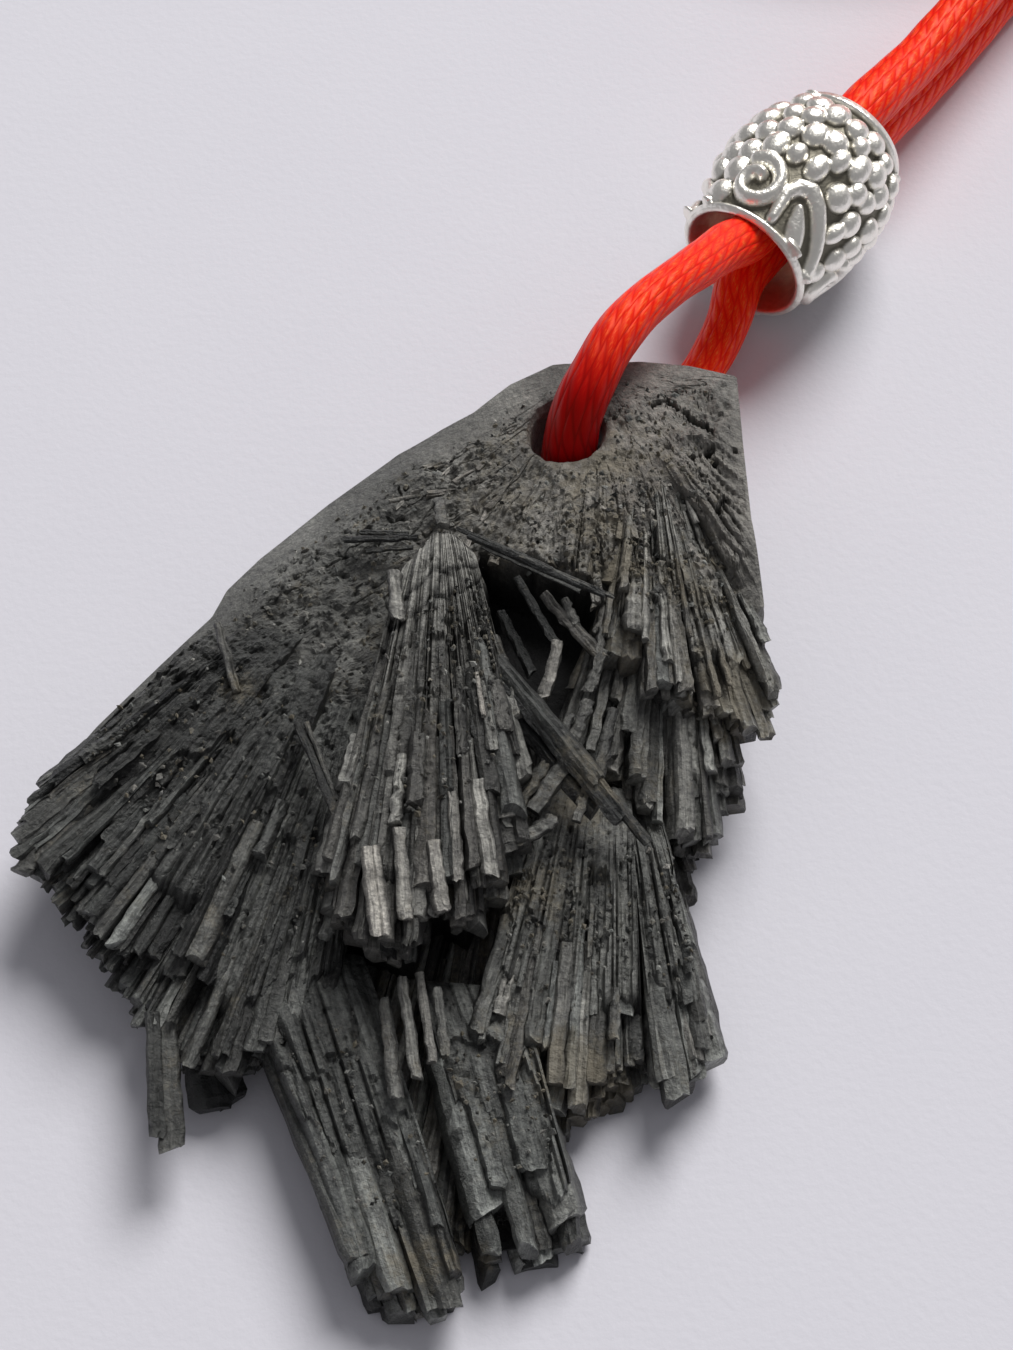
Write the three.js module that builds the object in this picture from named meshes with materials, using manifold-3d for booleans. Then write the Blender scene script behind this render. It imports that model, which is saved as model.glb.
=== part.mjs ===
// A black kyanite fan, drilled near its top edge and strung as a pendant on a doubled satin cord with
// one silver bead. Millimetres, +Z up. The pendant lies on the plane z = 0, its bead end towards +Y.
// The origin is at the middle of the stone's footprint, on the surface that it lies on.
import * as THREE from "three";
import { mergeVertices } from "three/addons/utils/BufferGeometryUtils.js";
import Module from "manifold-3d";

const wasm = await Module();
wasm.setup();

// ---- driving dimensions ------------------------------------------------------------------------
const STONE_WIDTH = 32.5;
const STONE_LENGTH = 42.3;
const HALF_WIDTH = STONE_WIDTH / 2;
const HALF_LENGTH = STONE_LENGTH / 2;

// The hole is drilled along +Z and is worn wider at both mouths: [height, radius].
const HOLE_CENTRE = { x: 7.1, y: 17.2 };
const HOLE_PROFILE = [[-2, 5], [2.6, 3.1], [4.6, 1.7], [7.2, 1.65], [8.2, 1.9], [14, 1.9]];
const HOLE_SIDES = 14;

// The underside leans up from the front to the drilled end, which rests on the cord, and up to the
// tip of the left wing.
const UNDERSIDE = { flatUntilY: -6, slope: 0.14, highest: 2.9, wingFromX: -6, wingSlope: 0.16 };
const UNDERSIDE_RELIEF = 0.5;
// How far the lowest laths of the underside are worn away flat where they touch the surface.
const WORN_FLAT = 0.35;

const CORD_DIAMETER = 2.5;
const CORD_SOLID_RADIUS = 1.16;
const CORD_SIDES = 8;
const STACK_PITCH = 2.6;

// The bead's widest place is its centre. Its near end, towards the stone, is the longer one, and its
// bore widens to a mouth there.
const BEAD = {
  centre: new THREE.Vector3(18.75, 33.75, 4.2),
  nearLength: 5.1,
  farLength: 4.0,
  radius: 4.2,
  endRadius: 3.45,
  boreRadius: 2.75,
  mouthRadius: 3.1,
  mouthDepth: 0.8,
  rimWidth: 0.9,
  rimGroove: 0.35,
  sides: 24,
  granuleRadius: 0.55,
  granuleRows: [-0.45, -0.15, 0.15, 0.45],
  granulesInRow: 14,
};
const CORD_AZIMUTH = THREE.MathUtils.degToRad(54);

const COIL = { outerTurnRadius: 17.5, turns: 2.9, layers: 2, leadOut: 36, sides: 40 };
const KNOT = { radius: 3.6, length: 7, waist: 3.0, wraps: 3, sides: 12, tail: 2.8, tailInside: 1 };

const TOUCHING_GAP = 0.3;

// ---- colours -----------------------------------------------------------------------------------
const stoneFinish = { color: 0x3f423f, roughness: 0.62, metalness: 0.0 };
const beadFinish = { color: 0xc9c7c3, roughness: 0.28, metalness: 1.0 };
const cordFinish = { color: 0xc3150f, roughness: 0.55, metalness: 0.0 };

// ---- helpers -----------------------------------------------------------------------------------

/** Numbers from 0 to 1 that are the same on every run. */
function seeded(seed) {
  let state = seed;
  return () => {
    state = (state + 0x6d2b79f5) | 0;
    let mixed = Math.imul(state ^ (state >>> 15), 1 | state);
    mixed = (mixed + Math.imul(mixed ^ (mixed >>> 7), 61 | mixed)) ^ mixed;
    return ((mixed ^ (mixed >>> 14)) >>> 0) / 4294967296;
  };
}

const random = seeded(20);

/** A number between low and high. */
function between(low, high) {
  return low + (high - low) * random();
}

const point = (x, y, z) => new THREE.Vector3(x, y, z);

/** The height of the stone's underside above a place on the surface it lies on. */
function underside(x, y) {
  const lean = THREE.MathUtils.clamp((y - UNDERSIDE.flatUntilY) * UNDERSIDE.slope, 0, UNDERSIDE.highest);
  const wing = Math.max(0, UNDERSIDE.wingFromX - x) * UNDERSIDE.wingSlope;
  return Math.max(lean, wing);
}

/** The point at fraction t, from 0 to 1, of a chain of [x, y, z] points. */
function along(chain, t) {
  const place = THREE.MathUtils.clamp(t, 0, 1) * (chain.length - 1);
  const first = Math.min(Math.floor(place), chain.length - 1);
  const second = Math.min(first + 1, chain.length - 1);
  return point(...chain[first]).lerp(point(...chain[second]), place - first);
}

/** A closed solid with its faces outwards, from triangles given as [a, b, c] corner points. */
function solidFromTriangles(triangles) {
  const volume = triangles.reduce((sum, [a, b, c]) => sum + a.dot(b.clone().cross(c)), 0);
  const facing = volume < 0 ? triangles.map(([a, b, c]) => [a, c, b]) : triangles;
  const geometry = new THREE.BufferGeometry().setFromPoints(facing.flat());
  return solid(geometry);
}

/** The solid of a closed three.js geometry. */
function solid(geometry) {
  const bare = geometry.clone();
  bare.deleteAttribute("normal");
  bare.deleteAttribute("uv");
  const merged = mergeVertices(bare, 1e-4);
  const corners = merged.index.array;
  const kept = [];
  for (let i = 0; i < corners.length; i += 3) {
    const [a, b, c] = [corners[i], corners[i + 1], corners[i + 2]];
    if (a !== b && b !== c && c !== a) kept.push(a, b, c);
  }
  return new wasm.Manifold(
    new wasm.Mesh({
      numProp: 3,
      vertProperties: new Float32Array(merged.attributes.position.array),
      triVerts: new Uint32Array(kept),
    }),
  );
}

/** The solid between rings of points stacked upwards, with its lowest and highest ring filled in. */
function stack(rings) {
  const size = rings[0].length;
  const triangles = [];
  for (let level = 0; level + 1 < rings.length; level += 1) {
    for (let i = 0; i < size; i += 1) {
      const next = (i + 1) % size;
      const [a, b] = [rings[level][i], rings[level][next]];
      const [c, d] = [rings[level + 1][next], rings[level + 1][i]];
      triangles.push([a, b, c], [a, c, d]);
    }
  }
  const fill = (ring, upwards) => {
    const plan = ring.map((p) => new THREE.Vector2(p.x, p.y));
    const clockwise = THREE.ShapeUtils.isClockWise(plan);
    for (const face of THREE.ShapeUtils.triangulateShape(plan, [])) {
      const [a, b, c] = face.map((index) => ring[index]);
      const turned = new THREE.Vector3().crossVectors(b.clone().sub(a), c.clone().sub(a)).z > 0;
      const walls = clockwise ? !upwards : upwards;
      triangles.push(turned === walls ? [a, b, c] : [a, c, b]);
    }
  };
  fill(rings[0], false);
  fill(rings[rings.length - 1], true);
  return solidFromTriangles(triangles);
}

/** The largest body of a solid, without the specks and sealed bubbles that a join can leave. */
function largestBody(joined) {
  const bodies = joined.decompose();
  return bodies.reduce((best, body) => (body.volume() > best.volume() ? body : best));
}

/** One body joined from many solids. */
function join(solids) {
  return solids.reduce((whole, piece) => whole.add(piece));
}

/** The three.js geometry of a solid. */
function geometryOf(body) {
  const mesh = body.getMesh();
  const geometry = new THREE.BufferGeometry();
  geometry.setAttribute("position", new THREE.BufferAttribute(mesh.vertProperties, mesh.numProp));
  geometry.setIndex(new THREE.BufferAttribute(mesh.triVerts, 1));
  const faceted = geometry.toNonIndexed();
  faceted.computeVertexNormals();
  return faceted;
}

/** A named mesh of one physical piece. */
function piece(name, geometry, finish) {
  const mesh = new THREE.Mesh(geometry, new THREE.MeshStandardMaterial(finish));
  mesh.name = name;
  return mesh;
}

// ---- the stone ---------------------------------------------------------------------------------

/**
 * One lath: a flat-topped crystal blade from one point to another, both on its top face. It is
 * widths[0] wide where it starts and widths[1] where it ends, and its broken end is slanted.
 */
function lath(from, to, widths, depth, roll = 0, slant = 0) {
  const heading = to.clone().sub(from).setZ(0).normalize();
  const side = point(-heading.y, heading.x, 0);
  const corner = (end, width, sign, push) =>
    end.clone().addScaledVector(side, (sign * width) / 2).addScaledVector(heading, push);
  const top = [
    corner(from, widths[0], 1, 0),
    corner(from, widths[0], -1, 0),
    corner(to, widths[1], -1, slant),
    corner(to, widths[1], 1, -slant),
  ];
  const bottom = top.map((p) => p.clone().setZ(p.z - depth));
  top.forEach((p, index) => p.setZ(p.z + (index === 0 || index === 3 ? roll : -roll)));
  return stack([bottom, top]);
}

// How the laths of a spray differ in spacing, height, roll and slant, and how they overlap sideways.
// A layer ends shorter and higher than the one below it.
const LATH_VARIETY = {
  spacing: 0.3, rise: [-0.35, 0.3], roll: 0.12, slant: 0.3, overlap: 1.12, leastWidth: 0.15,
  layerShorter: 0.2, layerHigher: 0.5, layerSettles: 0.1, riseAtStart: 0.5,
};

/**
 * The laths of one spray. Each runs from a point on the roots chain to the point as far along the
 * tips chain. count is how many lie side by side; layers lie on each other, the higher ones shorter.
 */
function sprayLaths({ roots, tips, count, layers = 1, depth, starts = [0.1, 0.3], ragged = 0.06 }) {
  const { spacing, roll, slant, overlap, leastWidth, riseAtStart } = LATH_VARIETY;
  const half = 0.5 / count;
  const laths = [];
  for (let layer = 0; layer < layers; layer += 1) {
    for (let i = 0; i < count; i += 1) {
      const across = (i + 0.5 + spacing * (random() - 0.5)) / count;
      const root = along(roots, across);
      const tip = along(tips, across);
      const reach = 1 - layer * LATH_VARIETY.layerShorter - between(0, ragged);
      const start = between(...starts);
      const from = root.clone().lerp(tip, start);
      const to = root.clone().lerp(tip, reach);
      const rise = between(...LATH_VARIETY.rise) - LATH_VARIETY.layerSettles * layer;
      from.z += rise * riseAtStart;
      to.z += rise + LATH_VARIETY.layerHigher * layer;
      const widthAt = (fraction) => {
        const left = along(roots, across - half).lerp(along(tips, across - half), fraction);
        const right = along(roots, across + half).lerp(along(tips, across + half), fraction);
        return left.setZ(0).distanceTo(right.setZ(0)) * overlap + leastWidth;
      };
      const widths = [widthAt(start), widthAt(reach)];
      laths.push(lath(from, to, widths, depth, between(-roll, roll), between(-slant, slant)));
    }
  }
  return laths;
}

/** The solid web under a spray: its plan, short of the tips, from the underside to below the laths. */
function sprayWeb({ roots, tips, sunk = 0.9, web = 0.9 }) {
  const middle = along(roots, 0.5);
  const rim = tips.map((tip) => along(roots, 0.5).lerp(point(...tip), web));
  const start = roots.map((root) => point(...root));
  const plan = roots.length > 1 ? [...start.reverse(), ...rim] : [middle, ...rim];
  const top = plan.map((p) => p.clone().setZ(p.z - sunk));
  const bottom = plan.map((p) => p.clone().setZ(underside(p.x, p.y) + UNDERSIDE_RELIEF));
  return stack([bottom, top]);
}

// Sprays of laths: roots and tips are chains of points on the top of the laths, in matching order.
const SPRAYS = {
  left_wing: {
    roots: [[-2.6, 6.1, 6.6]],
    tips: [
      [-15.6, 0.6, 5.1], [-16.2, -1.8, 4.6], [-15.6, -3.2, 4.2], [-14.2, -4.8, 3.9], [-12.6, -6.6, 3.8],
      [-11.3, -8.2, 3.7], [-10.0, -10.1, 3.5], [-7.8, -11.5, 3.5], [-5.8, -11.1, 3.9], [-2.8, -9.2, 4.6],
    ],
    count: 19, layers: 2, depth: 1.7, starts: [0.2, 0.4],
  },
  cut_edge: {
    roots: [[-5.6, 6.6, 6.5], [-7.5, 9.2, 6.3]],
    tips: [[-14.6, -0.6, 5.2], [-15.4, 1.4, 5.0]],
    count: 4, depth: 2.2, starts: [0.0, 0.15],
  },
  centre_cone: {
    roots: [[1.4, 11.3, 9.1]],
    tips: [
      [-3.1, -4.6, 7.0], [-2.2, -6.2, 7.3], [-1.5, -7.2, 7.4], [0.6, -7.9, 7.4], [0.9, -6.0, 7.6],
      [1.8, -5.8, 7.6], [2.9, -6.6, 7.5], [3.6, -4.7, 7.5], [4.5, -4.1, 7.4], [4.9, -0.4, 7.5],
      [4.7, 3.6, 8.0],
    ],
    count: 15, layers: 2, depth: 2.4, starts: [0.06, 0.2], web: 0.8,
  },
  right_lower: {
    roots: [[11.8, 18.6, 7.6]],
    tips: [
      [5.9, 5.3, 4.9], [7.2, 2.9, 5.0], [8.0, 2.1, 5.0], [9.1, 1.2, 5.0], [10.0, 0.2, 4.9],
      [10.8, -0.5, 4.8], [12.1, -1.5, 4.6], [13.4, -1.8, 4.5], [14.4, 0.5, 4.5], [15.0, 2.6, 4.6],
    ],
    count: 13, depth: 2.2, starts: [0.5, 0.6],
  },
  right_upper: {
    roots: [[11.8, 18.8, 8.7]],
    tips: [
      [8.0, 7.6, 7.9], [9.4, 5.6, 7.6], [10.5, 4.4, 7.4], [12.5, 3.9, 7.1], [13.6, 3.4, 6.7],
      [14.7, 3.0, 6.3], [15.9, 3.3, 5.8], [16.2, 5.0, 5.7], [15.9, 8.0, 6.2],
    ],
    count: 12, layers: 2, depth: 2.4, starts: [0.3, 0.45],
  },
  lower_right: {
    roots: [[6.8, -0.4, 5.4], [11.0, -1.6, 4.6]],
    tips: [
      [3.0, -9.2, 4.5], [4.2, -11.8, 4.1], [6.6, -13.2, 3.7], [8.2, -13.3, 3.3], [10.2, -11.5, 3.6],
      [12.0, -12.4, 3.1], [13.4, -10.5, 3.5], [12.2, -8.3, 3.9],
    ],
    count: 11, layers: 2, depth: 1.5, starts: [0.05, 0.2],
  },
  tail_left: {
    roots: [[-6.0, -4.2, 5.0], [-1.5, -4.4, 5.6], [2.4, -6.6, 5.6]],
    tips: [
      [-5.0, -12.4, 4.2], [-3.9, -14.9, 3.9], [-2.4, -17.6, 3.5], [-0.9, -20.3, 2.9], [0.5, -21.1, 2.5],
      [2.6, -20.9, 2.5], [3.1, -19.0, 3.1],
    ],
    count: 9, layers: 2, depth: 1.8, starts: [0.0, 0.2],
  },
  tail_right: {
    roots: [[0.6, -7.0, 5.4], [5.4, -8.6, 5.0]],
    tips: [[3.7, -19.0, 2.6], [4.2, -17.7, 3.0], [6.5, -18.4, 2.6], [7.5, -17.6, 2.9]],
    count: 6, layers: 2, depth: 1.8, starts: [0.0, 0.15],
  },
};

// The compact top of the stone: its plan, clockwise from the left wing. The first EDGE_POINTS of
// them follow the outside, where a ground bevel runs round the cut edge.
const SHIELD_PLAN = [
  [-15.4, 2.2], [-13.1, 4.7], [-10.7, 7.3], [-8.5, 9.6], [-7.9, 10.9], [-6.5, 12.4], [-3.5, 15.0],
  [-0.4, 17.4], [1.5, 18.3], [3.0, 18.9], [4.6, 20.1], [6.5, 21.0], [10.5, 21.15], [12.7, 20.9],
  [14.8, 20.3], [14.9, 16.8], [15.1, 12.7], [15.6, 9.2],
  [14.6, 8.0], [11.0, 7.4], [7.6, 4.8], [3.5, 4.0], [0.0, 3.0], [-4.0, 3.5], [-8.0, 2.5], [-12.0, 0.5],
];
const EDGE_POINTS = 18;
const SHIELD_TOP = { atHole: 7.9, fallToLeft: 0.13, fallToFront: 0.03 };
// The bevel is deep along the left, and eases between two places to a slight one along the top.
const BEVEL = { width: 2.3, drop: 1.35, slightDrop: 0.4, deepToX: -1, slightFromX: 5 };
// How far the front of the compact top stands down from its height, where the sprays leave it.
const FRONT_STEP = 0.4;

/** The height of the compact top of the stone. */
function shieldTop(x, y) {
  const left = Math.max(0, HOLE_CENTRE.x - x) * SHIELD_TOP.fallToLeft;
  return SHIELD_TOP.atHole - left - Math.max(0, HOLE_CENTRE.y - y) * SHIELD_TOP.fallToFront;
}

/** How far the ground bevel falls at the outside edge. */
function bevelDrop(x) {
  const eased = THREE.MathUtils.smoothstep(x, BEVEL.deepToX, BEVEL.slightFromX);
  return THREE.MathUtils.lerp(BEVEL.drop, BEVEL.slightDrop, eased);
}

/** The compact top of the stone, with its bevelled outside edge. */
function shield() {
  const centre = point(3.5, 11, 0);
  const rings = { bottom: [], edge: [], inner: [] };
  SHIELD_PLAN.forEach(([x, y], index) => {
    const outside = index < EDGE_POINTS;
    const inward = centre.clone().sub(point(x, y, 0)).setLength(BEVEL.width);
    const [innerX, innerY] = outside ? [x + inward.x, y + inward.y] : [x, y];
    const top = shieldTop(innerX, innerY);
    rings.bottom.push(point(x, y, underside(x, y)));
    rings.edge.push(point(x, y, outside ? top - bevelDrop(x) : top - FRONT_STEP));
    rings.inner.push(point(innerX, innerY, top));
  });
  return stack([rings.bottom, rings.edge, rings.inner]);
}

// How chips stand on the compact top: their top's height over it, its fall, depth, taper and twist.
const CHIP = { proud: [0.3, 0.55], fall: [0.05, 0.3], depth: 1.2, taper: 0.9, roll: 0.1, slant: 0.2 };

/** Short broken laths that lie on the compact top, most of them heading down to the left. */
function shieldChips() {
  const { roll, slant } = CHIP;
  const chips = [];
  for (const [x, y, azimuth, length, width] of [
    [-6.2, 8.2, -134, 2.2, 1.0], [-4.6, 9.4, -128, 2.0, 1.1], [-3.0, 10.6, -125, 2.2, 1.0],
    [-1.4, 12.0, -140, 1.8, 1.0], [-4.0, 7.6, -120, 2.2, 1.0], [-2.2, 8.8, -118, 2.0, 1.1],
    [-0.8, 10.2, -130, 1.6, 0.9], [-0.2, 13.4, -135, 2.0, 1.0], [1.4, 14.6, -120, 1.6, 1.0],
    [2.6, 13.2, -100, 1.8, 0.9], [4.0, 14.4, -50, 2.4, 0.9], [5.4, 13.2, -38, 2.6, 0.9],
    [4.8, 12.0, -30, 2.8, 0.8], [6.8, 12.4, -42, 2.6, 0.9], [8.0, 13.4, -48, 2.4, 1.0],
    [8.6, 11.6, -40, 2.6, 0.9], [9.4, 14.6, -85, 2.6, 1.0], [10.6, 17.6, -80, 2.2, 1.0],
    [12.2, 18.4, -60, 2.4, 1.0], [13.2, 16.6, -75, 2.4, 0.9], [10.0, 12.8, -75, 2.8, 0.9],
    [12.2, 13.8, -82, 3.0, 1.0], [4.2, 16.2, -95, 1.8, 1.0], [2.4, 16.0, -140, 2.0, 1.0],
  ]) {
    const turn = THREE.MathUtils.degToRad(azimuth);
    const from = point(x, y, shieldTop(x, y) + between(...CHIP.proud));
    const heading = point(Math.cos(turn), Math.sin(turn), 0);
    const to = from.clone().addScaledVector(heading, length).setZ(from.z - between(...CHIP.fall));
    const widths = [width, width * CHIP.taper];
    chips.push(lath(from, to, widths, CHIP.depth, between(-roll, roll), between(-slant, slant)));
  }
  return chips;
}

// Single laths that stand out: from, to, width and depth. Each has this taper, roll and slant.
const LOOSE_LATH_SHAPE = { taper: 0.85, roll: 0.08, slant: 0.2 };
const LOOSE_LATHS = [
  { from: [2.4, 11.1, 8.9], to: [8.5, 8.5, 8.1], width: 0.9, depth: 1.0 },
  { from: [0.7, 11.2, 8.4], to: [-2.4, 11.4, 7.5], width: 0.8, depth: 1.2 },
  { from: [3.6, 6.9, 7.6], to: [9.9, -1.9, 6.2], width: 1.1, depth: 1.4 },
  { from: [5.2, 9.8, 7.6], to: [7.0, 7.0, 6.6], width: 0.7, depth: 1.4 },
  { from: [7.0, 7.4, 6.8], to: [6.1, 4.4, 6.2], width: 0.9, depth: 1.3 },
  { from: [8.6, 7.2, 7.0], to: [8.2, 4.4, 6.2], width: 0.9, depth: 1.6 },
  { from: [7.6, 5.6, 6.6], to: [6.8, 2.6, 6.0], width: 0.9, depth: 1.8 },
  { from: [5.0, 0.2, 6.4], to: [6.6, 2.2, 6.6], width: 1.0, depth: 2.4 },
  { from: [6.0, -1.8, 6.0], to: [7.4, 0.4, 6.2], width: 0.9, depth: 2.0 },
  { from: [-3.8, 2.6, 6.9], to: [-1.7, -2.6, 6.6], width: 0.7, depth: 1.2 },
  { from: [-9.3, -8.6, 3.6], to: [-8.8, -14.2, 2.7], width: 1.2, depth: 1.5 },
  { from: [-8.0, 7.4, 6.6], to: [-6.9, 4.2, 6.5], width: 0.8, depth: 0.8 },
];

// The deep hollow between the centre cone and the right-hand spray: rim and floor.
const HOLLOW = {
  rim: [
    [3.1, 11.2], [5.6, 10.6], [8.0, 9.4], [9.2, 7.2], [8.9, 5.2], [7.4, 4.4], [5.4, 3.0], [4.2, 4.6],
    [3.6, 8.0],
  ],
  floorZ: 4.2,
  floorShrink: 0.7,
  rimZ: 7,
  topZ: 12,
  topGrow: 1.05,
};

/** The solid that is cut away to leave the deep hollow. */
function hollow() {
  const middle = HOLLOW.rim.reduce((sum, [x, y]) => sum.add(point(x, y, 0)), point(0, 0, 0));
  middle.divideScalar(HOLLOW.rim.length);
  const ring = (shrink, z) =>
    HOLLOW.rim.map(([x, y]) => middle.clone().lerp(point(x, y, 0), shrink).setZ(z));
  return stack([
    ring(HOLLOW.floorShrink, HOLLOW.floorZ), ring(1, HOLLOW.rimZ), ring(HOLLOW.topGrow, HOLLOW.topZ),
  ]);
}

// The laths of the underside: where on the way out they start and end, and their shape.
const UNDERSIDE_LATH = {
  starts: [0.15, 0.4],
  ends: [0.92, 1],
  raised: [0.15, 0.35],
  thickness: 1.7,
  widths: [1.1, 2.3],
  slant: 0.4,
};

/** Broad laths on the underside, spreading from the drilled end. Every other one lies lower. */
function undersideLaths() {
  const { starts, ends, raised, thickness, widths, slant } = UNDERSIDE_LATH;
  const root = point(6.5, 18.5, 0);
  const reach = [
    [-14.0, -0.4], [-13.2, -3.2], [-11.6, -5.6], [-9.8, -8.0], [-7.6, -9.8], [-5.0, -9.8], [-3.8, -12.6],
    [-2.4, -15.2], [-0.6, -18.0], [1.2, -18.8], [3.4, -17.0], [5.6, -16.0], [6.8, -12.2], [8.4, -11.8],
    [10.4, -10.4], [12.2, -9.6], [11.8, -4.6], [12.4, -0.6], [13.8, 1.2], [14.4, 5.0],
  ];
  return reach.map(([x, y], index) => {
    const from = root.clone().lerp(point(x, y, 0), between(...starts));
    const to = root.clone().lerp(point(x, y, 0), between(...ends));
    const lift = index % 2 === 0 ? 0 : between(...raised);
    from.z = underside(from.x, from.y) + thickness + lift;
    to.z = underside(to.x, to.y) + thickness + (lift || -WORN_FLAT);
    return lath(from, to, widths, thickness, 0, between(-slant, slant));
  });
}

/** A round cutter along +Z for the drilled hole and its worn mouths. */
function drill() {
  const ring = (z, radius) =>
    Array.from({ length: HOLE_SIDES }, (_, i) => {
      const turn = (2 * Math.PI * i) / HOLE_SIDES;
      const { x, y } = HOLE_CENTRE;
      return point(x + radius * Math.cos(turn), y + radius * Math.sin(turn), z);
    });
  return stack(HOLE_PROFILE.map(([z, radius]) => ring(z, radius)));
}

const ENVELOPE_HEIGHT = 20;

/** A block as large as the stone may be. What is outside it is cut off, as if worn away. */
function envelope() {
  const plan = [[-1, -1], [1, -1], [1, 1], [-1, 1]];
  const ring = (z) => plan.map(([x, y]) => point(x * HALF_WIDTH, y * HALF_LENGTH, z));
  return stack([ring(0), ring(ENVELOPE_HEIGHT)]);
}

/** The whole stone: webs and compact top, the hollow, then every lath, and the drilled hole. */
function kyaniteFan() {
  const webs = Object.values(SPRAYS).map(sprayWeb);
  const ground = join([shield(), ...webs]).subtract(hollow());
  const blades = Object.values(SPRAYS).flatMap(sprayLaths);
  const { taper, roll, slant } = LOOSE_LATH_SHAPE;
  const loose = LOOSE_LATHS.map(({ from, to, width, depth }) =>
    lath(point(...from), point(...to), [width, width * taper], depth, roll, slant),
  );
  const grown = join([ground, ...blades, ...loose, ...shieldChips(), ...undersideLaths()]);
  return largestBody(grown.intersect(envelope()).subtract(drill()));
}

// ---- the bead ----------------------------------------------------------------------------------

/** A barrel bead round its bore, with a rim at each end and staggered rows of granules. */
function bead() {
  const { nearLength, farLength, radius, endRadius, boreRadius, mouthRadius, mouthDepth } = BEAD;
  const { rimWidth, rimGroove, sides } = BEAD;
  const place = (part) => part * (part < 0 ? nearLength : farLength);
  const groundRadius = (part) => endRadius + (radius - endRadius) * (1 - part ** 2) - rimGroove;
  const [nearRim, farRim] = [rimWidth / nearLength - 1, 1 - rimWidth / farLength];
  const belly = [-0.62, -0.3, 0, 0.3, 0.62].map((part) => [groundRadius(part), place(part)]);
  const profile = [
    [mouthRadius, -nearLength], [endRadius, -nearLength],
    [groundRadius(nearRim) + rimGroove, place(nearRim)],
    ...belly,
    [groundRadius(farRim) + rimGroove, place(farRim)],
    [endRadius, farLength], [boreRadius, farLength], [boreRadius, mouthDepth - nearLength],
    [mouthRadius, -nearLength],
  ];
  const body = solid(new THREE.LatheGeometry(profile.map(([r, y]) => new THREE.Vector2(r, y)), sides));
  const granules = BEAD.granuleRows.flatMap((part, row) => {
    const y = place(part);
    const out = groundRadius(part) + rimGroove - BEAD.granuleRadius;
    return Array.from({ length: BEAD.granulesInRow }, (_, i) => {
      const turn = (2 * Math.PI * (i + (row % 2) / 2)) / BEAD.granulesInRow;
      const shape = new THREE.OctahedronGeometry(BEAD.granuleRadius).rotateY(turn);
      return solid(shape.translate(out * Math.sin(turn), y, out * Math.cos(turn)));
    });
  });
  const geometry = geometryOf(largestBody(join([body, ...granules])));
  return geometry.rotateZ(CORD_AZIMUTH - Math.PI / 2).translate(...BEAD.centre.toArray());
}

// ---- the cord ----------------------------------------------------------------------------------

const ahead = point(Math.cos(CORD_AZIMUTH), Math.sin(CORD_AZIMUTH), 0);
const COIL_ENTRY = BEAD.centre.clone().addScaledVector(ahead, COIL.leadOut).setZ(0);
const COIL_CENTRE = COIL_ENTRY.clone().addScaledVector(point(-ahead.y, ahead.x, 0), COIL.outerTurnRadius);
const COIL_OUTSIDE = COIL.outerTurnRadius + CORD_DIAMETER / 2;
const COIL_INSIDE = COIL.outerTurnRadius - COIL.turns * CORD_DIAMETER - CORD_DIAMETER / 2;

/** A point on the line through the bead, so far from its centre and so high. */
function onLine(distance, z) {
  return BEAD.centre.clone().addScaledVector(ahead, distance).setZ(z);
}

// Where the tubes end: just outside the coil, which they meet on a tangent.
const innerSide = COIL.outerTurnRadius - CORD_SOLID_RADIUS;
const TUBE_END = COIL.leadOut - Math.sqrt(COIL_OUTSIDE ** 2 - innerSide ** 2) - TOUCHING_GAP;

const HIGH = BEAD.centre.z + STACK_PITCH / 2;
const LOW = BEAD.centre.z - STACK_PITCH / 2;
const COIL_HIGH = 3.85;
const COIL_LOW = 1.25;

const MID_HOLE = 5.5;

// Up out of the hole, over the drilled end of the stone and through the upper half of the bead.
const FRONT_ROUTE = [
  point(7.25, 16.85, MID_HOLE),
  point(7.25, 16.87, 6.2),
  point(7.3, 17.05, 7.1),
  point(7.45, 17.4, 8.2),
  point(7.8, 18.0, 9.05),
  point(8.35, 18.95, 9.6),
  point(9.05, 20.3, 9.85),
  point(10.2, 22.1, 9.75),
  point(11.85, 24.25, 9.1),
  point(13.3, 26.2, 8.1),
  point(14.75, 28.4, 6.75),
  onLine(-5.0, 5.75),
  onLine(-3.4, HIGH),
  onLine(0, HIGH),
  onLine(3.6, HIGH),
  onLine(7, 5.0),
  onLine(11, COIL_HIGH + 0.3),
  onLine(16, COIL_HIGH),
  onLine(TUBE_END, COIL_HIGH),
];

// Down out of the hole, under the drilled end of the stone and through the lower half of the bead.
const BACK_ROUTE = [
  point(7.25, 16.85, MID_HOLE - TOUCHING_GAP),
  point(7.25, 16.87, 4.7),
  point(7.45, 17.1, 3.9),
  point(8.0, 17.75, 2.7),
  point(9.1, 19.0, 1.55),
  point(10.6, 20.9, 1.25),
  point(12.5, 23.3, 1.25),
  point(14.2, 25.8, 1.45),
  point(15.2, 27.9, 1.85),
  onLine(-5.0, 2.65),
  onLine(-3.4, LOW),
  onLine(0, LOW),
  onLine(3.6, LOW),
  onLine(7, 2.4),
  onLine(11, COIL_LOW + 0.3),
  onLine(16, COIL_LOW),
  onLine(TUBE_END, COIL_LOW),
];

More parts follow.
